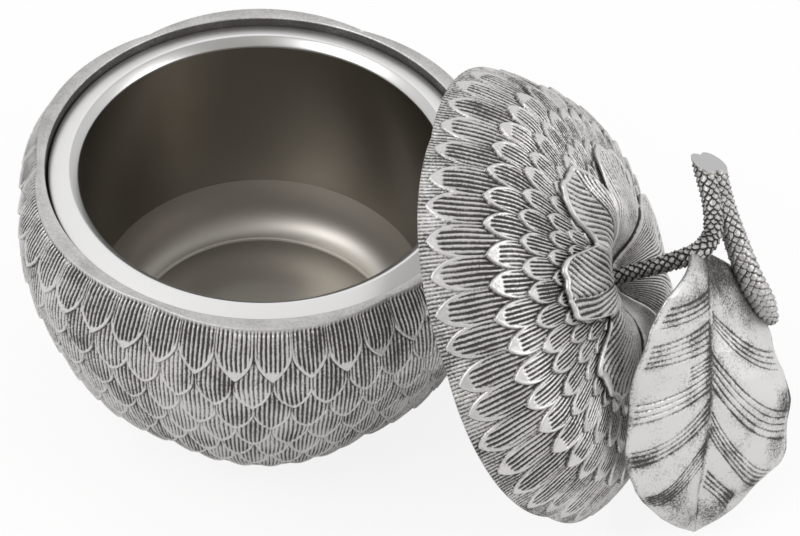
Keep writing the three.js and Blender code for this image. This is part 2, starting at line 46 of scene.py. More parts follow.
# Sizes of the pot, whose outline is in shares of the belly's radius and the pot's height
POT_HEIGHT = 113.0
BELLY_RADIUS = 100.0
POT_WALL = 3.4
POT_LOBE_DEPTH = 3.3
LIP_OUTER_RADIUS = 90.5
LIP_WIDTH = 4.7
LIP_EDGE = 0.8
LEDGE_DROP = 7.5
LEDGE_WIDTH = 3.5
LEDGE_THICKNESS = 4.0
FOOT_LIFT = 0.8
FOOT_RADIUS = 60.5
PAD_RADIUS = 52.0
PAD_THICKNESS = 1.5
FLOOR_THICKNESS = 2.9
SEAT_GAP = 0.3
LOBES = 6
LOBE_TURN = math.radians(2)
LOBE_SHARPNESS = 0.9
POT_OUTLINE = (
    (0.64, 0.016), (0.742, 0.112), (0.846, 0.25), (0.915, 0.408), (0.975, 0.586),
    (1, 0.754), (0.986, 0.882), (0.957, 0.945), (0.932, 0.985), (0.905, 1),
)

# Sizes of the insert
SHEET = 1.0
MOUTH_RADIUS = 72.3
MOUTH_DROP = 4.4
MOUTH_ROLL = 1.0
RING_CREST_RADIUS = 76.3
RING_CREST_DROP = 1.7
RING_EDGE_DROP = 3.7
RING_OUTER_RADIUS = 83.8
BOWL_FLOOR = 12.0
BOWL_FLOOR_RADIUS = 55.0
BOWL_CORNER_RADIUS = 14.0
BOWL_CORNER = (14.3, 22.0)
FLOOR_LINE = 1.2
FLOOR_LINE_DEPTH = 0.6
FLOOR_LINE_BOTTOM = (0.6, 0.4)
MOUTH_FLARE = 0.2
CREST_REACH = 1.2
CREST_INNER_DROP = 0.45
CREST_OUTER_DROP = 0.2
RING_EDGE_ROUND = 0.5
RING_EDGE_RISE = 0.25
RING_EDGE_FALL = 0.2

# Sizes of the lid and its calyx, whose outline is in shares of the rim's radius and the lid's height
LID_RIM_RADIUS = 92.6
LID_HEIGHT = 43.4
LID_WALL = 3.0
LID_LOBE_DEPTH = 3.4
LID_EDGE = 0.5
LID_SEAT_RADIUS = 84.5
LID_SEAT_HEIGHT = 1.6
LID_FLANGE_THICKNESS = 2.0
LID_FLANGE_WIDTH = 2.5
SCREW_HOLE_RADIUS = 1.8
LID_OUTLINE = (
    (0.076, 0.76), (0.13, 0.845), (0.19, 0.942), (0.26, 0.993), (0.31, 1), (0.4, 0.957),
    (0.5, 0.89), (0.595, 0.825), (0.69, 0.755), (0.774, 0.673), (0.85, 0.54), (0.914, 0.36),
    (0.96, 0.2), (0.99, 0.055), (1, 0.012),
)
CALYX_RADIUS = 53.0
CALYX_THICKNESS = 2.0
CALYX_GAP = 0.45
PETALS = 7
PETAL_TURN = math.radians(24)
PETAL_NOTCH = 0.36
PETAL_NOTCH_POWER = 6
LEAN_ANGLE = math.radians(60.4)
LEAN_HEADING = math.radians(-14.7)

# Courses of the twig, in shares of the branch's length sideways and of the stalk's height upwards
STALK_HEIGHT = 43.5
STALK_RADIUS = 3.3
BRANCH_LENGTH = 75.0
BRANCH_RADIUS = 5.0
CUT_TILT = math.radians(42)
CUT_TURN = math.radians(18)
CUT_PLACE = (-0.3, 0.385, 1.045)
STALK_COURSE = (
    (0, 0, -0.03), (-0.02, 0, 0.318), (-0.038, -0.008, 0.557), (-0.046, 0.024, 0.838),
    (-0.052, 0.11, 0.943), (-0.118, 0.195, 0.985), (-0.22, 0.275, 1), (-0.327, 0.353, 1.002),
    (-0.4, 0.415, 1.02),
)
STALK_THICKNESS = (1.03, 1, 0.98, 1.08, 1.16, 1.12, 1.12, 1.24, 1.32)
BRANCH_COURSE = (
    (-0.365, 0.475, 1.067), (-0.298, 0.417, 1.059), (-0.164, 0.325, 1.055), (-0.025, 0.244, 1.055),
    (0.144, 0.193, 1.05), (0.33, 0.162, 1.04), (0.505, 0.187, 1.02), (0.645, 0.207, 1),
    (0.69, 0.213, 0.992),
)
BRANCH_THICKNESS = (0.86, 0.84, 0.8, 0.87, 0.94, 0.99, 1.02, 0.98, 0.6)

# Form of the leaf: its midrib in shares of its length, its halves in shares of its width, rolls in degrees
LEAF_LENGTH = 120.0
LEAF_WIDTH = 83.0
LEAF_THICKNESS = 2.0
LEAF_ARCH = 2.0
LEAF_ROOT = (-0.027, 0.04, 0.815)
LEAF_COURSE = (
    (0, 0, 0), (0.067, -0.025, 0.017), (0.12, -0.067, 0.021), (0.186, -0.133, 0.003),
    (0.256, -0.2, -0.019), (0.416, -0.3, -0.073), (0.588, -0.35, -0.15), (0.7, -0.367, -0.22),
    (0.864, -0.383, -0.314),
)
LEAF_PLACES = (0, 0.07, 0.135, 0.226, 0.32, 0.41, 0.507, 0.6, 0.69, 0.76, 0.82, 0.9, 0.96, 1)
LEAF_LEFT = (0.06, 0.25, 0.41, 0.475, 0.482, 0.495, 0.51, 0.5, 0.472, 0.42, 0.352, 0.235, 0.12, 0.01)
LEAF_RIGHT = (0.06, 0.28, 0.44, 0.47, 0.41, 0.452, 0.475, 0.478, 0.476, 0.456, 0.405, 0.272, 0.14, 0.01)
LEAF_LEFT_ROLL = (5, 7, 10, 18, 26, 29, 31, 31, 31, 30, 30, 30, 30, 30)
LEAF_RIGHT_ROLL = (0, 0, 0, 6, 20, 26, 28, 29, 29, 29, 29, 29, 29, 29)
LEAF_HEADING = math.radians(46)
LEAF_WAVES = 4.5
LEAF_WAVE = 0.012


# Curves

def spline(points, shares):
    """Points of a uniform spline through the given ones, at shares from 0 to 1 of its run of spans."""
    points = np.asarray(points, float)
    last = len(points) - 1
    place = np.clip(shares, 0, 1) * last
    i = np.minimum(place.astype(int), last - 1)
    weight = (place - i)[:, None]
    before, start = points[np.maximum(i - 1, 0)], points[i]
    end, after = points[i + 1], points[np.minimum(i + 2, last)]
    lead, tail = (end - before) / 2, (after - start) / 2
    return (
        (2 * start - 2 * end + lead + tail) * weight ** 3
        + (3 * end - 3 * start - 2 * lead - tail) * weight ** 2
        + lead * weight + start
    )


def run_of(points):
    """How far along its line each point is."""
    steps = np.linalg.norm(np.diff(points, axis=0), axis=1)
    return np.concatenate([[0], np.cumsum(steps)])


def smooth(low, high, value):
    """A soft step from 0 at the low value to 1 at the high one."""
    share = np.clip((value - low) / (high - low), 0, 1)
    return share * share * (3 - 2 * share)


def wave(value):
    """A wave from 0 to 1 that starts at 1."""
    return 0.5 + 0.5 * np.cos(value)


def swing(value, size, rate, phase=0):
    """A swing to both sides of 0."""
    return size * np.sin(value * rate + phase)


def lobe(angle):
    """How far the valley between two lobes reaches in at an angle, from 0 to 1."""
    return 1 - np.abs(np.sin((angle - LOBE_TURN) * LOBES / 2)) ** LOBE_SHARPNESS


def normals_of(points):
    """Outward normals of a profile that runs from its top down and out."""
    run = np.gradient(points, axis=0)
    out = np.stack([-run[:, 1], run[:, 0]], axis=1)
    return out / np.linalg.norm(out, axis=1)[:, None]


# Meshes

def new_mesh(name, vertices, faces, darkness, materials):
    """A smooth mesh from vertex and face arrays, with how dark its patina and painted shade are at each
    vertex.
    """
    mesh = bpy.data.meshes.new(name)
    mesh.vertices.add(len(vertices))
    mesh.vertices.foreach_set("co", np.asarray(vertices, np.float32).ravel())
    sizes = np.concatenate([np.full(len(block), block.shape[1]) for block in faces])
    loops = np.concatenate([block.ravel() for block in faces])
    mesh.loops.add(len(loops))
    mesh.loops.foreach_set("vertex_index", loops.astype(np.int32))
    mesh.polygons.add(len(sizes))
    mesh.polygons.foreach_set("loop_start", np.concatenate([[0], np.cumsum(sizes)[:-1]]).astype(np.int32))
    mesh.update(calc_edges=True)
    mesh.polygons.foreach_set("use_smooth", np.ones(len(sizes), bool))
    # This attribute holds the real patina together with painted shade.
    layer = mesh.attributes.new("patina_and_painted_shade", "FLOAT", "POINT")
    layer.data.foreach_set("value", np.asarray(darkness, np.float32).ravel())
    mesh.validate()
    for material in materials:
        mesh.materials.append(material)
    thing = bpy.data.objects.new(name, mesh)
    bpy.context.scene.collection.objects.link(thing)
    return thing


def grid_faces(rows, columns, wrap_rows):
    """Quads of a grid whose columns wrap round."""
    row = np.arange(rows if wrap_rows else rows - 1)[:, None] * columns
    below = (row + columns) % (rows * columns)
    column = np.arange(columns)[None, :]
    following = (column + 1) % columns
    quads = np.stack([row + column, row + following, below + following, below + column], axis=-1)
    return quads.reshape(-1, 4)


def ring_mesh(name, rings, darkness, *materials, closed_loop=False):
    """A mesh from an array of rings of points. Without a closed loop, its first and last are filled."""
    rows, columns = rings.shape[:2]
    faces = [grid_faces(rows, columns, closed_loop)]
    vertices = rings.reshape(-1, 3)
    dark = darkness.ravel()
    if not closed_loop:
        centres = np.stack([rings[0].mean(axis=0), rings[-1].mean(axis=0)])
        vertices = np.concatenate([vertices, centres])
        dark = np.concatenate([dark, [0, 0]])
        column = np.arange(columns)
        following = (column + 1) % columns
        first, last = rows * columns, rows * columns + 1
        top = (rows - 1) * columns
        faces.append(np.stack([following, column, np.full(columns, first)], axis=1))
        faces.append(np.stack([top + column, top + following, np.full(columns, last)], axis=1))
    return new_mesh(name, vertices * MM, faces, dark, materials)


def angles_of(columns):
    return np.arange(columns) / columns * 2 * math.pi


def ring(radius, height, angles):
    return np.stack([radius * np.cos(angles), radius * np.sin(angles), height + 0 * angles], axis=-1)


def lobed_rings(rows, depth_at, angles):
    """Rings from rows of a radius, a height and the share of the lobes' depth that they follow."""
    return np.array([ring(r - share * depth_at(r) * lobe(angles), z, angles) for r, z, share in rows])


def lobed_skin(line, outward, depth, relief, angles):
    """The lobed surface of a profile, moved outwards by its relief."""
    drawn = line[:, :1] - depth * lobe(angles)[None, :] + outward[:, :1] * relief
    height = line[:, 1:] + outward[:, 1:] * relief
    return ring(drawn, height, angles)


def paint(thing, columns, spans):
    """Gives rows of a ring mesh their material, from spans of a first row, an end row and a slot."""
    slots = np.zeros(len(thing.data.polygons), int)
    for first, end, slot in spans:
        slots[first * columns:end * columns] = slot
    thing.data.polygons.foreach_set("material_index", slots)


# Overlapping scales, the relief on the shell, the lid and the bark. A row says over how many millimetres
# its scales narrow and by which power, their ridges, the width of their border, the length of their smooth
# tip, how far they sink towards their root, how stained their grooves are and how blunt their tip is,
# where 1 is pointed. A swing is a size and a rate.

Row = namedtuple("Row", "narrow power ridges border smooth_tip sink stain blunt")
SCALES_ROUND = 42
CHANCES = 5
GROUND_DEPTH = 1.25
GROUND_TONE = 0.6
SHADE_REACH = 2
SHADE_WIDTH = 0.5
SHADE_DEPTH = 0.4
SHIFT_CHANCE = 0.04
WIDTH_CHANCE = 0.03
LEAN_CHANCE = 0.12
LEAST_WIDTH = 0.0001
BORDER_LOSS = 0.6
BORDER_LOSS_START = 0.4
BORDER_LOSS_END = 1.3
BORDER_RISE = 0.22
BORDER_FOOT = 0.5
COMB_SPREAD = 0.15
SWAY = (0.3, 0.35)
SWAY_PHASE = 5
FINGERS = (0.35, 12.9)
FINGER_PHASE = 9
FINGER_FOOT = 1.6
GROOVE_POWER = 1.5
GROOVE_DEPTH = 0.68
CROWN = 0.22
SUNK = 0.23
EDGE_FALL_START = -0.1
EDGE_FALL_END = 0.55
SINK_RUN = 18
MOST_SINK = 1.3
GROOVE_TONE = 1.15
GROOVE_TONE_POWER = 0.85
EDGE_TONE = 0.8
EDGE_TONE_WIDTH = 0.4
CHANCE_TONE = 0.12
FIELD_TONE = 0.12


def scales(angle, run, radius, rows, count, turn, seed, jitter, fall_depth):
    """Lays rows of scales over a surface, the first row on top, each tip pointing along the run.

    The rows are pairs of the tips' place along the run and a Row. Returns the relief in millimetres, from
    0 down, the darkness of its patina with painted shade just below each tip, and the spots that no scale
    covers."""
    pitch = 2 * math.pi / count
    chance = np.random.default_rng(seed).uniform(-1, 1, size=(CHANCES, len(rows), count))
    relief = np.full(angle.shape, -GROUND_DEPTH)
    dark = np.full(angle.shape, GROUND_TONE)
    free = np.ones(angle.shape, bool)
    shade = np.zeros(angle.shape)
    for k, (tip, row) in enumerate(rows):
        stagger = pitch / 2 if k % 2 == 0 else 0
        place = (angle - turn - stagger) / pitch
        cell = np.round(place).astype(int) % count
        moved, shifted, widened, toned, leaned = chance[:, k, cell]
        middle = np.round(place) + shifted * SHIFT_CHANCE
        across = (place - middle) * pitch * radius
        half = pitch * radius / 2 * (1 + WIDTH_CHANCE * widened)
        back = tip + moved * jitter - run
        taper = np.clip(1 - back / row.narrow, 0, None)
        full = np.clip(1 - taper ** row.power, LEAST_WIDTH, None)
        width = half * full ** row.blunt
        growth = row.power * taper ** (row.power - 1) / row.narrow
        slope = half * row.blunt * full ** (row.blunt - 1) * growth
        offset = across - leaned * LEAN_CHANCE * half * taper
        edge = (width - np.abs(offset)) / np.sqrt(1 + slope ** 2)
        edge = np.where(back > 0, edge, -np.hypot(back, offset))
        inside = free & (back > 0) & (edge > 0)
        outside = free & (back > -SHADE_REACH) & (edge <= 0) & (edge > -SHADE_REACH)
        shade[outside] = np.maximum(shade[outside], np.exp(edge[outside] / SHADE_WIDTH))

        side = offset / half
        lost = smooth(BORDER_LOSS_START * row.narrow, BORDER_LOSS_END * row.narrow, back)
        border = row.border * (1 - BORDER_LOSS * lost)
        sway = swing(back, *SWAY, SWAY_PHASE * toned)
        comb = row.ridges * (side * (1 + COMB_SPREAD * taper) + 1) + sway / math.pi
        start = row.smooth_tip * (1 + swing(np.floor(comb / 2), *FINGERS, FINGER_PHASE * shifted))
        field = smooth(border, border + BORDER_FOOT, edge) * smooth(start, start + FINGER_FOOT, back)
        groove = wave(math.pi * (comb + 1)) ** GROOVE_POWER
        bulge = BORDER_RISE * np.sin(math.pi * np.clip(edge / border, 0, 1))
        body = bulge - CROWN * side ** 2 - SUNK
        fall = fall_depth * (1 - smooth(EDGE_FALL_START, EDGE_FALL_END, edge))
        sunk = row.sink * np.clip(back / SINK_RUN, 0, MOST_SINK)
        tone = GROOVE_TONE * row.stain * groove ** GROOVE_TONE_POWER * field
        tone += EDGE_TONE * (1 - smooth(0, EDGE_TONE_WIDTH, edge))
        tone += CHANCE_TONE * toned + FIELD_TONE * field
        relief[inside] = (body - fall - sunk - GROOVE_DEPTH * groove * field)[inside]
        dark[inside] = tone[inside]
        free &= ~inside
    # Below each tip the surface sinks a little, and its darkness there is painted shade, as if cast by the
    # scale above.
    relief -= SHADE_DEPTH * shade
    dark = np.maximum(dark, shade)
    return relief, np.clip(dark, 0, 1), free


# Pot shell

PROFILE_SAMPLES = 2000
POT_COLUMNS = SCALES_ROUND * 40
POT_ROWS = 210
POT_TIP_HEIGHTS = (92.3, 76.8, 61.8, 47.6, 35.5, 25.0, 15.5)
FIRST_ROW = Row(12.4, 2, 8, 1.3, 3.2, 1.1, 1.1, 1)
LOWER_ROW = Row(11, 2.1, 8, 1.05, 0.9, 1.1, 0.68, 0.9)
POT_SEED = 11
POT_JITTER = 0.6
CAST_FALL = 0.85
PLAIN_LIP = (0.6, 1.6)
PLAIN_FOOT = (8, 2)
PLAIN_TONE = 0.36
LIP_BAND = 1.7
LIP_CREST = (2.3, 0.15)
LIP_ROUND = (0.2, 0.25)
CREST_LOBES = 0.3
FOOT_LOBES = 0.5
# The lip's own tones come first; from its inner edge down to the ledge, in the gap round the insert, the
# rings are painted near black as shade.
LIP_TONES_AND_GAP_SHADE = (0.36, 0.3, 0.3, 0.8, 0.9, 1, 1)
LIP_RINGS = 4
UNDERSIDE_TONE = 0.3
INSIDE_TONE = 0.5
POT_WALL_STEP = 12


def pot_lobe_depth(radius):
    """The pot's lobes are equally deep at every radius."""
    return POT_LOBE_DEPTH


def pot_profile(samples):
    """The shell's outer outline from the lip down to the foot, evenly along its run, in millimetres."""
    dense = spline(np.array(POT_OUTLINE) * (BELLY_RADIUS, POT_HEIGHT), np.linspace(1, 0, PROFILE_SAMPLES))
    run = run_of(dense)
    places = np.interp(np.linspace(0, run[-1], samples), run, np.arange(len(dense)))
    return np.stack([np.interp(places, np.arange(len(dense)), dense[:, i]) for i in (0, 1)], axis=1)


def pot_shell():
    angles = angles_of(POT_COLUMNS)
    line = pot_profile(POT_ROWS)
    run = run_of(line)
    outward = normals_of(line)
    tips = np.interp(-np.array(POT_TIP_HEIGHTS), -line[:, 1], run)
    rows = [(tips[0], FIRST_ROW)] + [(tip, LOWER_ROW) for tip in tips[1:]]
    grid_angle, grid_run = np.meshgrid(angles, run)
    relief, dark = scales(
        grid_angle, grid_run, line[:, :1], rows, SCALES_ROUND, LOBE_TURN, POT_SEED, POT_JITTER, CAST_FALL,
    )[:2]
    plain = 1 - smooth(*PLAIN_LIP, grid_run)
    plain = np.maximum(plain, smooth(run[-1] - PLAIN_FOOT[0], run[-1] - PLAIN_FOOT[1], grid_run))
    relief = relief * (1 - plain)
    dark = dark * (1 - plain) + PLAIN_TONE * plain
    outer = lobed_skin(line, outward, POT_LOBE_DEPTH, relief, angles)
    lip_inner = LIP_OUTER_RADIUS - LIP_WIDTH - LIP_EDGE
    ledge = POT_HEIGHT - LEDGE_DROP
    ledge_inner = lip_inner - LEDGE_WIDTH
    recess_top = PAD_THICKNESS + SEAT_GAP
    floor_top = recess_top + FLOOR_THICKNESS
    wall = line - outward * POT_WALL
    below_ledge = wall[:, 1] < ledge - LEDGE_THICKNESS - POT_WALL
    wall = wall[below_ledge & (wall[:, 1] > floor_top + POT_WALL / 2)][::POT_WALL_STEP]
    under = [
        (PAD_RADIUS + SEAT_GAP, recess_top, 0), (PAD_RADIUS + SEAT_GAP, FOOT_LIFT, 0),
        (FOOT_RADIUS, FOOT_LIFT, FOOT_LOBES),
    ]
    lip = [
        (LIP_OUTER_RADIUS - LIP_CREST[0], POT_HEIGHT - LIP_CREST[1], CREST_LOBES),
        (lip_inner + LIP_EDGE, POT_HEIGHT, 0), (lip_inner + LIP_ROUND[0], POT_HEIGHT - LIP_ROUND[1], 0),
        (lip_inner, POT_HEIGHT - LIP_EDGE, 0), (lip_inner, ledge, 0),
        (ledge_inner, ledge, 0), (ledge_inner, ledge - LEDGE_THICKNESS, 0),
    ]
    inner = [(r, z, 1) for r, z in wall] + [(FOOT_RADIUS, floor_top, 0)]
    stack = np.concatenate([
        lobed_rings(under, pot_lobe_depth, angles), outer[::-1],
        lobed_rings(lip + inner, pot_lobe_depth, angles),
    ])
    # The lip's rings carry painted shade down into the gap round the insert.
    lip_tones_and_gap_shade = np.array(LIP_TONES_AND_GAP_SHADE)[:, None] * np.ones(POT_COLUMNS)
    tone = np.concatenate([
        np.full((len(under), POT_COLUMNS), UNDERSIDE_TONE), dark[::-1], lip_tones_and_gap_shade,
        np.full((len(inner), POT_COLUMNS), INSIDE_TONE),
    ])
    thing = ring_mesh("cast_pot_shell", stack, tone, cast_metal, lip_metal)
    lip_end = len(under) + POT_ROWS
    paint(thing, POT_COLUMNS, [(lip_end - np.count_nonzero(run < LIP_BAND), lip_end + LIP_RINGS, 1)])
    return thing


# Lid shell, in the lid's own frame

LID_SAMPLES = 3000
LID_COLUMNS = SCALES_ROUND * 36
LID_ROWS = 150
LID_TIP_RADII = (37.5, 46.0, 56.1, 69.4, 81.0, 91.8)
LID_SCALES = (
    Row(5.5, 2.1, 4, 0.6, 1.2, 1.0, 1.1, 0.78), Row(6.5, 2.1, 4, 0.75, 1.8, 1.0, 1.1, 0.78),
    Row(8.0, 2.1, 5, 0.95, 2.6, 1.1, 1.05, 0.78), Row(10.0, 2.1, 6, 1.15, 3.4, 1.1, 1, 0.78),
    Row(11.5, 2.1, 6, 1.3, 3.8, 1.2, 1, 0.78), Row(13.0, 2.1, 6, 1.5, 3.6, 1.2, 1, 0.74),
)
LID_SEED = 5
LID_JITTER = 0.9
RELIEF_START = 30
CROWN_END = 29.5
CROWN_STEP = 60
LID_WALL_STEP = 90
SCREW_SHOULDER = 2
RIM_STROKES = 378
STROKE_BEND = 0.8
STROKE_BENDS = 31
STROKE_RISE = 0.5
STROKE_DEPTH = 0.45
STROKE_TONE = 0.15
STROKE_CONTRAST = 0.65
PLAIN_LID_TONE = 0.4


def lid_line():
    return spline(np.array(LID_OUTLINE) * (LID_RIM_RADIUS, LID_HEIGHT), np.linspace(0, 1, LID_SAMPLES))


def lid_lobe_depth(radius):
    return LID_LOBE_DEPTH * (radius / LID_RIM_RADIUS) ** 2


def lid_height(radius, angle):
    line = lid_line()
    return np.interp(radius + lid_lobe_depth(radius) * lobe(angle), line[:, 0], line[:, 1])


def lid_place():
    """The lid's place, on the floor and tilted by its lean, with its origin where the frame has it."""
    turn = Matrix.Rotation(LEAN_HEADING, 4, "Z") @ Matrix.Rotation(LEAN_ANGLE, 4, "Y")
    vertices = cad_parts["lid_inner_pan"].data.vertices
    local = np.array([(turn.inverted() @ v.co)[:] for v in vertices])
    middle = (local.max(axis=0) + local.min(axis=0)) / 2
    flange_top = (SEAT_GAP + SHEET) * MM
    origin = turn @ Vector((middle[0], middle[1], local[:, 2].max() - flange_top))
    return Matrix.Translation(origin) @ turn


def lid_shell():
    angles = angles_of(LID_COLUMNS)
    full = lid_line()
    full_run = run_of(full)
    start = np.interp(RELIEF_START, full[:, 0], full_run)
    run = np.linspace(start, full_run[-1], LID_ROWS)
    line = np.stack([np.interp(run, full_run, full[:, i]) for i in (0, 1)], axis=1)
    tips = np.interp(LID_TIP_RADII, line[:, 0], run)
    turn = LOBE_TURN + math.pi / SCALES_ROUND
    grid_angle, grid_run = np.meshgrid(angles, run)
    relief, dark, free = scales(
        grid_angle, grid_run, line[:, :1], list(zip(tips, LID_SCALES)), SCALES_ROUND, turn, LID_SEED,
        LID_JITTER, CAST_FALL,
    )
    stroke = wave(grid_angle * RIM_STROKES + STROKE_BEND * np.sin(grid_angle * STROKE_BENDS))
    # The painted shade below the outer row's tips is kept over the rim's strokes.
    shade = (dark - GROUND_TONE) / (1 - GROUND_TONE)
    relief = np.where(free, STROKE_RISE + relief - STROKE_DEPTH * stroke, relief)
    dark = np.where(free, np.maximum(STROKE_TONE + STROKE_CONTRAST * stroke, shade), dark)
    outer = lobed_skin(line, normals_of(line), lid_lobe_depth(line[:, :1]), relief, angles)
    crown = [(r, z, 1) for r, z in full[full[:, 0] < CROWN_END][::CROWN_STEP]]
    flange_inner = LID_SEAT_RADIUS - LID_FLANGE_WIDTH
    flange_top = LID_SEAT_HEIGHT + LID_FLANGE_THICKNESS
    edge = [
        (LID_RIM_RADIUS - LID_EDGE, 0, 1), (LID_SEAT_RADIUS, 0, 0), (LID_SEAT_RADIUS, LID_SEAT_HEIGHT, 0),
        (flange_inner, LID_SEAT_HEIGHT, 0), (flange_inner, flange_top, 0),
    ]
    wall = full - normals_of(full) * LID_WALL
    wall = wall[wall[:, 1] > flange_top + LID_WALL / 2][::-1][::LID_WALL_STEP]
    inner = [(r, z, 1) for r, z in wall if r > SCREW_HOLE_RADIUS + SCREW_SHOULDER]
    inner.append((SCREW_HOLE_RADIUS, full[0, 1] - LID_WALL, 0))
    top = [(SCREW_HOLE_RADIUS, full[0, 1], 0)] + crown
    below = edge + inner
    stack = np.concatenate([
        lobed_rings(top, lid_lobe_depth, angles), outer, lobed_rings(below, lid_lobe_depth, angles),
    ])
    tone = np.concatenate([
        np.full((len(top), LID_COLUMNS), PLAIN_LID_TONE), dark,
        np.full((len(below), LID_COLUMNS), PLAIN_LID_TONE),
    ])
    return ring_mesh("cast_lid_shell", stack, tone, cast_metal, closed_loop=True)


# Calyx. Each petal has a fold and a ribbing. A swing is a size, a rate and, where it has one, a phase.

CALYX_COLUMNS = PETALS * 120
CALYX_ROWS = 110
CALYX_INSET = 0.2
DENT_DEPTH = 0.9
DENTS = ((0.6, 17, 1.3), (0.5, 29, 0.4), (0.3, 53, 0))
PETAL_FOLDS = (-0.16, -0.1, 0.14, -0.12, 0.1, -0.14, 0.12)
SLANTED_SIDES = (0, 0, 0, -1, 1, 0, 0)
UPPER_PETALS = (False, True, False, True, True, False, True)
FOLD_SWAY = (0.02, 0.2)
FAN_RIBS = 112
FAN_SWAY = (0.4, 0.3)
SLANT = 0.8
SLANTED_PITCH = 2.9
SLANTED_SWAY = (0.3, 0.4)
RIB_START = (5, 11)
RIB_POWER = 1.3
RIB_DEPTH = 0.75
PETAL_DROP = 0.1
PETAL_RIM = 1.5
PETAL_RIM_CHANGE = (0.4, 13, 2)
PETAL_RIM_SLOPE = (-0.5, 0.4)
PETAL_RIM_FOOT = 0.9
PETAL_RIM_RISE = 0.3
MARGIN_FALL = 0.6
SEAM_FALL = 0.5
FALL_WIDTH = 0.7
STALK_SHADOW = (4, 12)
CREASE_WIDTH = 0.7
CREASE_DEPTH = 0.55
TUCK_WIDTH = 7
TUCK_DEPTH = 0.9
TUCK_SHADOW = (0.3, 2)
CRUMPLE_START = (3, 9)
CRUMPLE_RATE = 0.5
CRUMPLE_DEPTH = 0.45
LEAST_PETAL = 0.25
RIB_TONE = 0.85
RIB_TONE_POWER = 0.9
# Strength of the painted shade along a tucked seam.
TUCK_SHADE_TONE = 0.9
CREASE_TONE = 0.3
PETAL_TONE = 0.02
# Strength of the painted shadow round the stalk.
STALK_SHADOW_TONE = 0.35
CALYX_LIFT = 0.05
CALYX_UNDER_START = 8
CALYX_UNDER_STEP = 12
CALYX_UNDER_TONE = 0.6


def petal_reach(angle):
    away = np.abs(np.sin((angle - PETAL_TURN) * PETALS / 2)) ** PETAL_NOTCH_POWER
    return CALYX_RADIUS * (1 - PETAL_NOTCH * away)


def calyx():
    angles = angles_of(CALYX_COLUMNS)
    share = np.linspace(0, 1, CALYX_ROWS)[:, None]
    dents = DENT_DEPTH + sum(swing(angles, *dent) for dent in DENTS)
    reach = petal_reach(angles) - CALYX_INSET - np.maximum(dents, 0)
    radius = SCREW_HOLE_RADIUS + share * (reach[None, :] - SCREW_HOLE_RADIUS)
    place = (angles - PETAL_TURN) * PETALS / (2 * math.pi) + 0 * share
    petal = np.round(place).astype(int) % PETALS
    turn = (place - np.round(place)) * 2 * math.pi / PETALS
    over = np.array(UPPER_PETALS)[petal]
    side = turn - np.array(PETAL_FOLDS)[petal] + swing(radius, *FOLD_SWAY, petal)
    along = radius * np.cos(side)
    across = radius * np.sin(side)
    way = np.array(SLANTED_SIDES)[petal]
    fan = side * FAN_RIBS + swing(radius, *FAN_SWAY)
    slanted = (SLANT * along - np.abs(across)) * 2 * math.pi / SLANTED_PITCH + swing(across, *SLANTED_SWAY)
    groove = wave(np.where(way * side < 0, slanted, fan) + math.pi) ** RIB_POWER
    margin = reach[None, :] - radius
    seam = (math.pi / PETALS - np.abs(turn)) * radius
    border = np.where(over, np.minimum(margin, seam), margin)
    within = border - PETAL_RIM - swing(angles, *PETAL_RIM_CHANGE)
    field = smooth(0, PETAL_RIM_FOOT, within) * smooth(*RIB_START, radius)
    clear = smooth(*STALK_SHADOW, radius)
    crease = np.exp(-(across / CREASE_WIDTH) ** 2) * clear * np.abs(way)
    tuck = np.where(over, 0, 1 - smooth(0, TUCK_WIDTH, seam))
    tuck_shade = np.where(over, 0, 1 - smooth(*TUCK_SHADOW, seam))
    seam_fall = np.where(over, 1 - smooth(0, FALL_WIDTH, seam), 0)
    crumple = wave(across * CRUMPLE_RATE + petal) * smooth(*CRUMPLE_START, border)
    height = -PETAL_DROP - PETAL_RIM_RISE * smooth(*PETAL_RIM_SLOPE, within)
    height -= RIB_DEPTH * groove * field + CREASE_DEPTH * crease
    height -= TUCK_DEPTH * tuck + CRUMPLE_DEPTH * crumple
    height -= SEAM_FALL * seam_fall + MARGIN_FALL * (1 - smooth(0, FALL_WIDTH, margin))
    # Painted shade darkens a tucked petal along the seam under its neighbour.
    dark = RIB_TONE * groove ** RIB_TONE_POWER * field + TUCK_SHADE_TONE * tuck_shade + CREASE_TONE * crease
    # Painted shadow darkens the middle round the stalk.
    dark += PETAL_TONE * field + STALK_SHADOW_TONE * (1 - clear)
    seat = lid_height(radius, angles[None, :]) + CALYX_GAP
    thickness = CALYX_THICKNESS + np.clip(height, LEAST_PETAL - CALYX_THICKNESS, 0)
    upper = ring(radius, seat + thickness, angles)
    lower = ring(radius, seat + CALYX_LIFT, angles)
    keep = [0, *range(CALYX_UNDER_START, CALYX_ROWS - 1, CALYX_UNDER_STEP), CALYX_ROWS - 1][::-1]
    stack = np.concatenate([upper, lower[keep]])
    tone = np.concatenate([np.clip(dark, 0, 1), np.full((len(keep), CALYX_COLUMNS), CALYX_UNDER_TONE)])
    return ring_mesh("crumpled_calyx", stack, tone, cast_metal, closed_loop=True)


# Twig handle

COURSE_SAMPLES = 40
STALK_FOOT = LID_OUTLINE[0][1] * LID_HEIGHT + CALYX_GAP + CALYX_THICKNESS + SEAT_GAP
LIMB_ROWS = 300
LIMB_COLUMNS = 108
LIMB_SIDE = (0.3, 0.9, 0.2)
BARK_ROW = Row(1.7, 1.9, 0, 1, 9, 5, 1.1, 0.85)
BARK_SPACING = 1.95
BARK_TURN = 0.2
BARK_JITTER = 0.4
BARK_FALL = 0.6
BARK_LIFT = 0.55
BARK_RELIEF = 0.9
CUT_FADE = (0.4, 1.6)
CUT_LIFT = 0.2
CUT_TONE = 0.15
SHADE_FADE = (0.3, 0.9)
STALK_SHADE = 0.25
STALK_SCALES = 7
BRANCH_SCALES = 8
STALK_SEED = 21
BRANCH_SEED = 22
CUT_BLOCK = 60 * MM
CUT_LEVEL = 0.999
CUT_WITHIN = 0.02 * MM


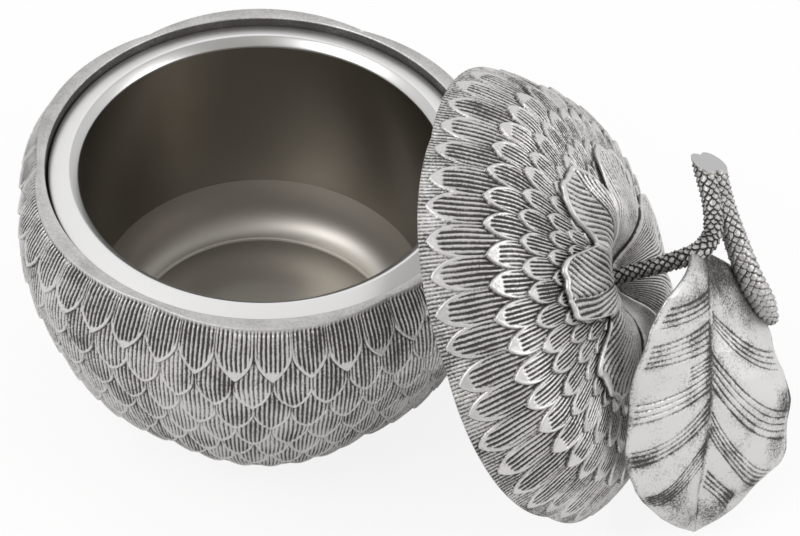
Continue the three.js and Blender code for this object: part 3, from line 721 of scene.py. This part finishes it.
def course(points, samples):
    """Evenly spaced points along a smooth line through the given ones, tighter where they crowd."""
    points = np.asarray(points, float)
    ends = (2 * points[0] - points[1], 2 * points[-1] - points[-2])
    padded = np.concatenate([[ends[0]], points, [ends[1]]])
    weight = np.linspace(0, 1, COURSE_SAMPLES)[:, None]
    line = []
    for before, start, end, after in zip(padded, padded[1:], padded[2:], padded[3:]):
        first, middle, last = (
            math.sqrt(np.linalg.norm(b - a)) for a, b in ((before, start), (start, end), (end, after))
        )
        straight = (end - start) / middle
        lead = ((start - before) / first - (end - before) / (first + middle) + straight) * middle
        tail = (straight - (after - start) / (middle + last) + (after - end) / last) * middle
        line.append(
            start + lead * weight + (3 * end - 3 * start - 2 * lead - tail) * weight ** 2
            + (2 * start - 2 * end + lead + tail) * weight ** 3
        )
    line = np.concatenate(line)
    run = run_of(line)
    even = np.linspace(0, run[-1], samples)
    return np.stack([np.interp(even, run, line[:, i]) for i in range(3)], axis=1)


def handle_point(shares):
    x, y, z = shares
    return np.array([x * BRANCH_LENGTH, y * BRANCH_LENGTH, STALK_FOOT + z * STALK_HEIGHT])


def directions(line):
    run = np.gradient(line, axis=0)
    return run / np.linalg.norm(run, axis=1)[:, None]


def cut_plane():
    """A spot on the cut and its outward direction, in the lid's frame."""
    away = handle_point(STALK_COURSE[-1]) - handle_point(STALK_COURSE[-3])
    heading = math.atan2(away[1], away[0]) + CUT_TURN
    level = math.cos(CUT_TILT)
    outward = np.array((level * math.cos(heading), level * math.sin(heading), math.sin(CUT_TILT)))
    return handle_point(CUT_PLACE), outward


def limb(name, points, thickness, radius, around, shade, seed, down_run):
    """A limb with a bark of small crescents, whose tips point down its run or up it."""
    line = course([handle_point(p) for p in points], LIMB_ROWS)
    ahead = directions(line)
    side = np.cross(ahead[0], LIMB_SIDE)
    sides = []
    for way in ahead:
        side = side - way * (side @ way)
        side = side / np.linalg.norm(side)
        sides.append(side)
    sides = np.array(sides)
    others = np.cross(ahead, sides)
    run = run_of(line)
    places = np.linspace(0, 1, len(thickness))
    radii = np.interp(np.linspace(0, 1, LIMB_ROWS), places, thickness)[:, None] * radius
    angles = angles_of(LIMB_COLUMNS)
    grid_angle, grid_run = np.meshgrid(angles, run if down_run else run[-1] - run)
    tips = np.arange(BARK_SPACING, run[-1] + 3 * BARK_SPACING, BARK_SPACING)
    rows = [(tip, BARK_ROW) for tip in tips]
    relief, dark = scales(
        grid_angle, grid_run, radii, rows, around, BARK_TURN, seed, BARK_JITTER, BARK_FALL,
    )[:2]
    out = np.cos(angles)[None, :, None] * sides[:, None] + np.sin(angles)[None, :, None] * others[:, None]
    spot, outward = cut_plane()
    bark = smooth(*CUT_FADE, (spot - line[:, None] - radii[..., None] * out) @ outward)
    shading = shade * (1 - smooth(*SHADE_FADE, run / run[-1]))[:, None]
    level = bark * (BARK_LIFT + BARK_RELIEF * relief) + (1 - bark) * CUT_LIFT
    dark = bark * (dark + shading) + (1 - bark) * CUT_TONE
    return ring_mesh(name, line[:, None] + (radii + level)[..., None] * out, dark)


def cutting_block(spot, outward):
    """A cube that lies with one face on the cut."""
    block = bmesh.new()
    aim = outward.to_track_quat("Z", "X").to_matrix().to_4x4()
    place = Matrix.Translation(spot + outward * CUT_BLOCK / 2) @ aim
    bmesh.ops.create_cube(block, size=CUT_BLOCK, matrix=place)
    cutter = bpy.data.objects.new("cutter", bpy.data.meshes.new("cutter"))
    block.to_mesh(cutter.data)
    block.free()
    bpy.context.scene.collection.objects.link(cutter)
    return cutter


def twig():
    """Two limbs joined into one, cut off flat across both where the end is polished."""
    stalk = limb(
        "bark_twig", STALK_COURSE, STALK_THICKNESS, STALK_RADIUS,
        around=STALK_SCALES, shade=STALK_SHADE, seed=STALK_SEED, down_run=False,
    )
    branch = limb(
        "branch_limb", BRANCH_COURSE, BRANCH_THICKNESS, BRANCH_RADIUS,
        around=BRANCH_SCALES, shade=0, seed=BRANCH_SEED, down_run=True,
    )
    spot, outward = (Vector(v) for v in cut_plane())
    spot *= MM
    cutter = cutting_block(spot, outward)
    for other, operation in ((branch, "UNION"), (cutter, "DIFFERENCE")):
        step = stalk.modifiers.new(operation.lower(), "BOOLEAN")
        step.operation = operation
        step.solver = "MANIFOLD"
        step.object = other
    whole = bpy.data.meshes.new_from_object(stalk.evaluated_get(bpy.context.evaluated_depsgraph_get()))
    stalk.modifiers.clear()
    stalk.data = whole
    for other in (branch, cutter):
        bpy.data.objects.remove(other)
    whole.materials.clear()
    whole.materials.append(bark_metal)
    whole.materials.append(cut_metal)
    for face in whole.polygons:
        if face.normal @ outward > CUT_LEVEL and abs((face.center - spot) @ outward) < CUT_WITHIN:
            face.material_index = 1
            face.use_smooth = False
    return stalk


# Leaf, along its midrib and across it from -1 to 1. A group of veins has its side, the places of its first
# and last root and of their ends, its number, and how far across it starts and ends. A stain has its place
# along and across, its length, its width and its strength. A swing is a size and a rate.

LEAF_ROWS = 300
LEAF_HALF_COLUMNS = 90
MIDRIB_PLACES = (0, 0.1, 0.24, 0.4, 0.52, 0.64, 0.8, 1)
MIDRIB_OFFSETS = (-0.3, -0.3, -0.12, -0.05, -0.06, -0.1, -0.1, 0)
MIDRIB_START = (0.02, 0.1)
MIDRIB_WIDTH = 1.1
MIDRIB_DEPTH = 0.25
VEINS = (
    (-1, 0.125, 0.18, 0.17, 0.222, 4, 0, 0.93), (-1, 0.217, 0.304, 0.272, 0.33, 5, 0, 0.97),
    (-1, 0.325, 0.362, 0.375, 0.412, 4, 0, 0.36), (-1, 0.375, 0.425, 0.44, 0.495, 4, 0, 1),
    (-1, 0.455, 0.52, 0.6, 0.65, 4, 0, 1), (-1, 0.6, 0.68, 0.79, 0.84, 5, 0, 0.95),
    (1, 0.179, 0.217, 0.345, 0.408, 4, 0.05, 1), (1, 0.308, 0.417, 0.545, 0.65, 5, 0.02, 1),
    (1, 0.492, 0.567, 0.775, 0.842, 5, 0.02, 0.95), (1, 0.7, 0.77, 0.89, 0.93, 4, 0.06, 0.6),
)
VEIN_BEND = 1.9
VEIN_ROOT_FADE = 0.02
VEIN_END_FADE = 0.08
VEIN_WIDTH = 0.4
VEIN_WIDTH_CHANGE = (0.12, 7)
VEIN_WIDTH_PHASE = 11
VEIN_DEPTH = 0.4
VEIN_BREAKS = 0.18
SHORT_BREAKS = (1, 37)
SHORT_BREAK_PHASE = 5
LONG_BREAKS = (1, 13)
LONG_BREAK_PHASE = 3
VEIN_LOSS = 0.35
VEIN_STAIN_WIDTH = 2.4
VEIN_TONE = 0.85
MIDRIB_TONE = 0.35
VEIN_STAIN_TONE = 0.2
LEAF_RIM_TONE = 0.3
LEAF_STAINS = (
    (0.06, 0.1, 0.12, 0.9, 0.75), (0.17, 0.6, 0.1, 0.45, 0.6), (0.52, 0.95, 0.07, 0.2, 0.55),
    (0.62, -0.95, 0.04, 0.3, 0.4), (0.82, -0.6, 0.07, 0.45, 0.5), (0.92, 0, 0.07, 0.8, 0.5),
    (0.84, 0.55, 0.05, 0.3, 0.45), (0.7, 0.9, 0.05, 0.2, 0.45), (0.44, -0.1, 0.4, 0.07, 0.4),
)
LEAF_MARGIN = (0.93, 1)
LEAF_MARGIN_LOSS = 0.35
LEAF_RIM = (0.965, 0.995)
LEAF_UNDER_TONE = 0.35


def leaf_veins(share, across):
    """How deep the engraving is at each spot, from 0 to 1, and how stained the metal is round it."""
    middle = np.interp(share, MIDRIB_PLACES, MIDRIB_OFFSETS)
    engraved = np.zeros(share.shape)
    stained = np.zeros(share.shape)
    for way, first, last, first_end, last_end, count, near, far in VEINS:
        off = np.clip((across - middle) * way / (1 - middle * way), 0, 1)
        reach = smooth(near - VEIN_ROOT_FADE, near + VEIN_ROOT_FADE, off)
        reach = reach * (1 - smooth(far - VEIN_END_FADE, far, off)) * (way * (across - middle) > 0)
        bend = 1 - (1 - off) ** VEIN_BEND
        for i in range(count):
            part = i / (count - 1)
            start = first + (last - first) * part
            fall = first_end + (last_end - first_end) * part - start
            slope = fall * LEAF_LENGTH * VEIN_BEND * (1 - off) ** (VEIN_BEND - 1) / (LEAF_WIDTH / 2)
            gap = (share - start - fall * bend) * LEAF_LENGTH / np.sqrt(1 + slope ** 2)
            width = VEIN_WIDTH + swing(i, *VEIN_WIDTH_CHANGE, VEIN_WIDTH_PHASE * start)
            breaks = swing(off, *SHORT_BREAKS, SHORT_BREAK_PHASE * i)
            breaks = breaks * swing(off, *LONG_BREAKS, LONG_BREAK_PHASE * start)
            whole = (1 - VEIN_BREAKS + VEIN_BREAKS * breaks) * (1 - VEIN_LOSS * off)
            depth = np.exp(-(gap / width) ** 2) * reach * whole
            engraved = np.maximum(engraved, depth)
            stained = np.maximum(stained, np.exp(-(gap / VEIN_STAIN_WIDTH) ** 2) * reach)
    return engraved, stained


def leaf():
    columns = 2 * LEAF_HALF_COLUMNS + 1
    line = course([handle_point(LEAF_ROOT) + LEAF_LENGTH * np.array(p) for p in LEAF_COURSE], LEAF_ROWS)
    ahead = directions(line)
    along = np.linspace(0, 1, LEAF_ROWS)
    across = np.linspace(-1, 1, columns)
    share, off = np.meshgrid(along, across, indexing="ij")
    middle = np.interp(share, MIDRIB_PLACES, MIDRIB_OFFSETS)
    rib = np.exp(-((off - middle) * LEAF_WIDTH / 2 / MIDRIB_WIDTH) ** 2) * smooth(*MIDRIB_START, share)
    engraved, stained = leaf_veins(share, off)
    stain = np.zeros(share.shape)
    for place, side, length, width, strength in LEAF_STAINS:
        away = ((share - place) / length) ** 2 + ((off - side) / width) ** 2
        stain = np.maximum(stain, strength * np.exp(-away))
    top = np.zeros((LEAF_ROWS, columns, 3))
    bottom = np.zeros((LEAF_ROWS, columns, 3))
    for some, halves, rolls in (
        (across < 0, LEAF_LEFT, LEAF_LEFT_ROLL), (across >= 0, LEAF_RIGHT, LEAF_RIGHT_ROLL),
    ):
        half = np.interp(along, LEAF_PLACES, halves)[:, None] * LEAF_WIDTH
        roll = np.radians(np.interp(along, LEAF_PLACES, rolls))
        side = np.stack([
            math.cos(LEAF_HEADING) * np.cos(roll), math.sin(LEAF_HEADING) * np.cos(roll), np.sin(roll),
        ], axis=1)
        up = np.cross(ahead, side)
        up = up / np.linalg.norm(up, axis=1)[:, None]
        full = np.minimum(1, half / (LEAF_WIDTH / 4))
        spread = across[None, some]
        ripple = np.sin(along * LEAF_WAVES * 2 * math.pi)[:, None] * LEAF_WAVE * LEAF_WIDTH * spread ** 2
        arch = (LEAF_ARCH * np.sin(np.abs(spread) * math.pi) + ripple) * full
        spot = line[:, None] + side[:, None] * (half * spread)[..., None]
        thick = LEAF_THICKNESS / 2 * (1 - LEAF_MARGIN_LOSS * smooth(*LEAF_MARGIN, np.abs(spread)))
        carve = VEIN_DEPTH * engraved[:, some] + MIDRIB_DEPTH * rib[:, some]
        top[:, some] = spot + up[:, None] * (arch + thick - carve)[..., None]
        bottom[:, some] = spot + up[:, None] * (arch - thick)[..., None]
    loops = np.concatenate([top, bottom[:, ::-1]], axis=1)
    rim = smooth(*LEAF_RIM, np.abs(off))
    dark_top = VEIN_TONE * engraved + MIDRIB_TONE * rib + VEIN_STAIN_TONE * stained + stain
    dark_top = np.clip(dark_top + LEAF_RIM_TONE * rim, 0, 1)
    dark = np.concatenate([dark_top, np.full(bottom.shape[:2], LEAF_UNDER_TONE)], axis=1)
    return ring_mesh("veined_leaf", loops, dark, leaf_metal)


# Insert

BOWL_COLUMNS = 360
FLOOR_RING_SHARE = 0.5
CORNER_STEPS = 24
UNDER_CORNER_STEPS = 12
BRIM_SAMPLES = 41
RING, PLAIN, SHADED_STEEL, FLOOR = range(4)


def cup(floor, corner, top_radius, top, steps):
    """Half the section of a cup, from the width and height of its corner."""
    wide, high = corner
    turn = np.linspace(-math.pi / 2, 0, steps)
    arc = [(BOWL_FLOOR_RADIUS + wide * math.cos(a), floor + high + high * math.sin(a)) for a in turn]
    return [(BOWL_FLOOR_RADIUS * FLOOR_RING_SHARE, floor), *arc, (top_radius, top)]


def liner_bowl():
    """The insert's bowl, with a steel each for its ring, its mouth, its wall and its floor; the ring's is
    lightened as painted light, the wall's and the floor line's darkened as painted shade.
    """
    angles = angles_of(BOWL_COLUMNS)
    mouth = POT_HEIGHT - MOUTH_DROP
    crest = POT_HEIGHT - RING_CREST_DROP
    edge = POT_HEIGHT - RING_EDGE_DROP
    skirt = POT_HEIGHT - LEDGE_DROP + SEAT_GAP
    under_corner = BOWL_CORNER_RADIUS + SHEET
    groove = BOWL_FLOOR - FLOOR_LINE_DEPTH
    floor = [
        (BOWL_FLOOR_RADIUS * FLOOR_RING_SHARE, BOWL_FLOOR), (BOWL_FLOOR_RADIUS - FLOOR_LINE, BOWL_FLOOR),
        *((BOWL_FLOOR_RADIUS - FLOOR_LINE * share, groove) for share in FLOOR_LINE_BOTTOM),
    ]
    corner = cup(BOWL_FLOOR, BOWL_CORNER, MOUTH_RADIUS, mouth - MOUTH_ROLL, CORNER_STEPS)[1:-1]
    wall = [(MOUTH_RADIUS, mouth - MOUTH_ROLL)]
    brim = spline([
        (MOUTH_RADIUS, mouth - MOUTH_ROLL), (MOUTH_RADIUS + MOUTH_FLARE, mouth),
        (RING_CREST_RADIUS - CREST_REACH, crest - CREST_INNER_DROP), (RING_CREST_RADIUS, crest),
        (RING_CREST_RADIUS + CREST_REACH, crest - CREST_OUTER_DROP),
        (RING_OUTER_RADIUS - RING_EDGE_ROUND, edge + RING_EDGE_RISE),
        (RING_OUTER_RADIUS, edge - RING_EDGE_FALL),
    ], np.linspace(0, 1, BRIM_SAMPLES))[1:]
    under = [
        (RING_OUTER_RADIUS, skirt), (RING_OUTER_RADIUS - SHEET, skirt),
        (RING_OUTER_RADIUS - SHEET, edge - SHEET), (RING_CREST_RADIUS, crest - SHEET),
    ]
    outside = cup(
        BOWL_FLOOR - SHEET, (under_corner, under_corner), MOUTH_RADIUS + SHEET, mouth - MOUTH_ROLL / 2,
        UNDER_CORNER_STEPS,
    )[::-1]
    inner_brim = np.count_nonzero(brim[:, 0] < RING_CREST_RADIUS - CREST_REACH / 2)
    rows = [*floor, *corner, *wall, *map(tuple, brim), *under, *outside]
    stack = np.array([ring(r, z, angles) for r, z in rows])
    thing = ring_mesh(
        "spun_insert", stack, np.zeros(stack.shape[:2]), lit_ring_steel, plain_steel, shaded_bowl_steel, floor_steel,
    )
    corner_start = len(floor)
    wall_start = corner_start + len(corner) - 1
    brim_start = wall_start + 1
    ring_start = brim_start + inner_brim
    last_rows = len(rows) - 1
    # The wall and the floor line's groove take the darkened steel, as painted shade.
    paint(thing, BOWL_COLUMNS, [
        (0, 1, FLOOR), (1, corner_start, SHADED_STEEL), (corner_start, wall_start, FLOOR),
        (wall_start, brim_start, SHADED_STEEL), (brim_start, ring_start, PLAIN), (ring_start, last_rows, RING),
        (last_rows, last_rows + 1, FLOOR),
    ])
    return thing


# Finishes. A noise is the size of its blobs in metres, its detail and its roughness.

GRAIN = (0.0009, 3, 0.75)
BLOTCHES = (0.012, 2, 0.5)
FELT_GRAIN = (0.0006, 4, 0.5)
NOISE_MIDDLE = 0.5
GRAIN_SHARE = 1.6
PATINA_AND_SHADE_START = 0.08
PATINA_AND_SHADE_END = 0.9
PATINA_AND_SHADE_ROUGHNESS = 0.3
CAST_METALLIC = 0.9
BUMP_STRENGTH = 0.4
BUMP_HEIGHT = 0.0004
FELT_ROUGHNESS = 0.95


def shader(name):
    material = bpy.data.materials.new(name)
    material.use_nodes = True
    tree = material.node_tree
    return material, tree, tree.nodes["Principled BSDF"]


def linked_mix(tree, share, low, high):
    mix = tree.nodes.new("ShaderNodeMix")
    mix.data_type = "RGBA"
    tree.links.new(share, mix.inputs["Factor"])
    mix.inputs["A"].default_value = (*low, 1)
    mix.inputs["B"].default_value = (*high, 1)
    return mix.outputs["Result"]


def soft_step(tree, value, start, end):
    step = tree.nodes.new("ShaderNodeMapRange")
    step.interpolation_type = "SMOOTHSTEP"
    step.inputs["From Min"].default_value = start
    step.inputs["From Max"].default_value = end
    tree.links.new(value, step.inputs["Value"])
    return step.outputs["Result"]


def noise(tree, size, detail, roughness):
    coordinates = tree.nodes.new("ShaderNodeTexCoord")
    texture = tree.nodes.new("ShaderNodeTexNoise")
    texture.inputs["Scale"].default_value = 1 / size
    texture.inputs["Detail"].default_value = detail
    texture.inputs["Roughness"].default_value = roughness
    tree.links.new(coordinates.outputs["Object"], texture.inputs["Vector"])
    return texture.outputs["Fac"]


def math_node(tree, operation, *values, clamp=False):
    node = tree.nodes.new("ShaderNodeMath")
    node.operation = operation
    node.use_clamp = clamp
    for socket, value in zip(node.inputs, values):
        if isinstance(value, (int, float)):
            socket.default_value = value
        else:
            tree.links.new(value, socket)
    return node.outputs[0]


def antiqued(name, bright, dark, polish, speckle):
    """Cast metal with worn bright ridges and a dark patina, with painted shade in it, wherever the mesh
    says so.
    """
    material, tree, surface = shader(name)
    layer = tree.nodes.new("ShaderNodeAttribute")
    layer.attribute_name = "patina_and_painted_shade"
    grain = noise(tree, *GRAIN)
    centred_grain = math_node(tree, "SUBTRACT", grain, NOISE_MIDDLE)
    centred_blotch = math_node(tree, "SUBTRACT", noise(tree, *BLOTCHES), NOISE_MIDDLE)
    speck = math_node(tree, "MULTIPLY", centred_grain, speckle * GRAIN_SHARE)
    cloud = math_node(tree, "MULTIPLY", centred_blotch, speckle)
    patina_and_painted_shade = math_node(tree, "ADD", layer.outputs["Fac"], speck)
    patina_and_painted_shade = math_node(tree, "ADD", patina_and_painted_shade, cloud, clamp=True)
    share = soft_step(tree, patina_and_painted_shade, PATINA_AND_SHADE_START, PATINA_AND_SHADE_END)
    rough = math_node(tree, "MULTIPLY_ADD", share, PATINA_AND_SHADE_ROUGHNESS, polish)
    tree.links.new(linked_mix(tree, share, bright, dark), surface.inputs["Base Color"])
    tree.links.new(rough, surface.inputs["Roughness"])
    surface.inputs["Metallic"].default_value = CAST_METALLIC
    bump = tree.nodes.new("ShaderNodeBump")
    bump.inputs["Strength"].default_value = BUMP_STRENGTH
    bump.inputs["Distance"].default_value = BUMP_HEIGHT
    tree.links.new(grain, bump.inputs["Height"])
    tree.links.new(bump.outputs["Normal"], surface.inputs["Normal"])
    return material


def polished_steel(name, colour, roughness):
    material, _, surface = shader(name)
    surface.inputs["Base Color"].default_value = (*colour, 1)
    surface.inputs["Metallic"].default_value = 1
    surface.inputs["Roughness"].default_value = roughness
    return material


def wool_felt(name, dark, bright):
    material, tree, surface = shader(name)
    share = noise(tree, *FELT_GRAIN)
    tree.links.new(linked_mix(tree, share, dark, bright), surface.inputs["Base Color"])
    surface.inputs["Roughness"].default_value = FELT_ROUGHNESS
    return material


def dress(thing, material):
    thing.data.materials.clear()
    thing.data.materials.append(material)


CAST_BRIGHT = (0.67, 0.66, 0.652)
CAST_DARK = (0.09, 0.085, 0.08)
BARK_BRIGHT = (0.53, 0.52, 0.51)
BARK_DARK = (0.05, 0.046, 0.043)
LEAF_BRIGHT = (0.68, 0.675, 0.67)
LEAF_DARK = (0.085, 0.082, 0.08)
cast_metal = antiqued("antiqued_cast_metal", CAST_BRIGHT, CAST_DARK, polish=0.42, speckle=1.0)
lip_metal = antiqued("antiqued_lip_metal", CAST_BRIGHT, CAST_DARK, polish=0.38, speckle=0.3)
bark_metal = antiqued("antiqued_bark_metal", BARK_BRIGHT, BARK_DARK, polish=0.42, speckle=0.7)
leaf_metal = antiqued("antiqued_leaf_metal", LEAF_BRIGHT, LEAF_DARK, polish=0.36, speckle=1.15)
cut_metal = polished_steel("polished_cut_metal", colour=(0.52, 0.52, 0.52), roughness=0.38)
# The ring's steel is lightened as painted light.
lit_ring_steel = polished_steel("polished_ring_steel_painted_light", colour=(0.82, 0.815, 0.81), roughness=0.34)
# The bowl's steel is darkened as painted shade.
shaded_bowl_steel = polished_steel("polished_bowl_steel_painted_shade", colour=(0.27, 0.25, 0.22), roughness=0.28)
floor_steel = polished_steel("brushed_floor_steel", colour=(0.53, 0.505, 0.47), roughness=0.46)
plain_steel = polished_steel("plain_steel", colour=(0.56, 0.555, 0.55), roughness=0.33)
pad_felt = wool_felt("wool_felt", dark=(0.03, 0.03, 0.032), bright=(0.054, 0.054, 0.0576))

# Pieces

dress(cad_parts["base_pad"], pad_felt)
for node in ("liner_jacket", "lid_inner_pan", "handle_washer", "handle_screw"):
    dress(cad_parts[node], plain_steel)

shell = pot_shell()
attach(shell, "pot")
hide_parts("pot_shell")

bowl = liner_bowl()
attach(bowl, "liner")
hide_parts("liner_bowl")

place = lid_place()
for thing, node, slot in (
    (lid_shell(), "lid_shell", "cast_metal"), (calyx(), "calyx", "cast_metal"),
    (twig(), "twig_handle", "twig_metal"), (leaf(), "leaf", "leaf_metal"),
):
    thing.data.transform(place)
    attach(thing, "lid")
    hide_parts(node)


# Stage, in metres. A lamp has its place, its size and its power in watts. The camera's turn is in degrees.

FLOOR_SIDE = 6
FLOOR_TONE = (0.86, 0.86, 0.86)
FLOOR_ROUGHNESS = 0.9
FLOOR_GLOW = 0.86
WHITE = (1, 1, 1)
PALE = (0.95, 0.95, 0.95)
DIM = (0.5, 0.49, 0.47)
DARK_SIDE = (0, -0.72, 0.69)
DARK_SIDE_START = 0.45
DARK_SIDE_END = 0.85
LAMPS = (("key_light", (-0.8, -0.5, 1.3), 0.9, 9), ("side_light", (1.2, -0.4, 0.9), 0.7, 5))
LAMP_AIM = Vector((0.03, 0, 0.06))
LENS = 108
SENSOR = 36
NEAR = 0.01
CAMERA_PLACE = (0, -0.683, 0.7661)
CAMERA_TURN = (43.723, -2.342, -2.278)


def shader_mix(tree, share, first, second, output):
    """Links a mix of two shaders to an output."""
    mix = tree.nodes.new("ShaderNodeMixShader")
    tree.links.new(share, mix.inputs[0])
    tree.links.new(first.outputs[0], mix.inputs[1])
    tree.links.new(second.outputs[0], mix.inputs[2])
    tree.links.new(mix.outputs[0], tree.nodes[output].inputs["Surface"])


def studio_floor():
    bpy.ops.mesh.primitive_plane_add(size=FLOOR_SIDE)
    floor = bpy.context.object
    floor.name = "floor"
    material, tree, surface = shader("pale_floor")
    surface.inputs["Base Color"].default_value = (*FLOOR_TONE, 1)
    surface.inputs["Roughness"].default_value = FLOOR_ROUGHNESS
    path = tree.nodes.new("ShaderNodeLightPath")
    glow = tree.nodes.new("ShaderNodeEmission")
    glow.inputs["Color"].default_value = (*WHITE, 1)
    share = math_node(tree, "MULTIPLY", path.outputs["Is Camera Ray"], FLOOR_GLOW)
    shader_mix(tree, share, surface, glow, "Material Output")
    dress(floor, material)


def studio_world():
    """A pale room that is dimmer behind the camera, and white where the camera sees it."""
    world = bpy.data.worlds.new("studio")
    bpy.context.scene.world = world
    world.use_nodes = True
    tree = world.node_tree
    background = tree.nodes["Background"]
    coordinates = tree.nodes.new("ShaderNodeTexCoord")
    aim = tree.nodes.new("ShaderNodeVectorMath")
    aim.operation = "DOT_PRODUCT"
    aim.inputs[1].default_value = DARK_SIDE
    tree.links.new(coordinates.outputs["Generated"], aim.inputs[0])
    fade = soft_step(tree, aim.outputs["Value"], DARK_SIDE_START, DARK_SIDE_END)
    tree.links.new(linked_mix(tree, fade, PALE, DIM), background.inputs["Color"])
    path = tree.nodes.new("ShaderNodeLightPath")
    white = tree.nodes.new("ShaderNodeBackground")
    white.inputs["Color"].default_value = (*WHITE, 1)
    shader_mix(tree, path.outputs["Is Camera Ray"], background, white, "World Output")


def lamps():
    for name, spot, size, power in LAMPS:
        lamp = bpy.data.lights.new(name, "AREA")
        lamp.shape = "DISK"
        lamp.size = size
        lamp.energy = power
        thing = bpy.data.objects.new(name, lamp)
        thing.location = spot
        aim = LAMP_AIM - Vector(spot)
        thing.rotation_euler = aim.to_track_quat("-Z", "Y").to_euler()
        bpy.context.scene.collection.objects.link(thing)


def camera():
    data = bpy.data.cameras.new("camera")
    data.lens = LENS
    data.sensor_width = SENSOR
    data.clip_start = NEAR
    thing = bpy.data.objects.new("camera", data)
    thing.location = CAMERA_PLACE
    thing.rotation_euler = [math.radians(angle) for angle in CAMERA_TURN]
    bpy.context.scene.collection.objects.link(thing)
    bpy.context.scene.camera = thing


studio_floor()
studio_world()
lamps()
camera()
bpy.context.scene.view_settings.view_transform = "Standard"
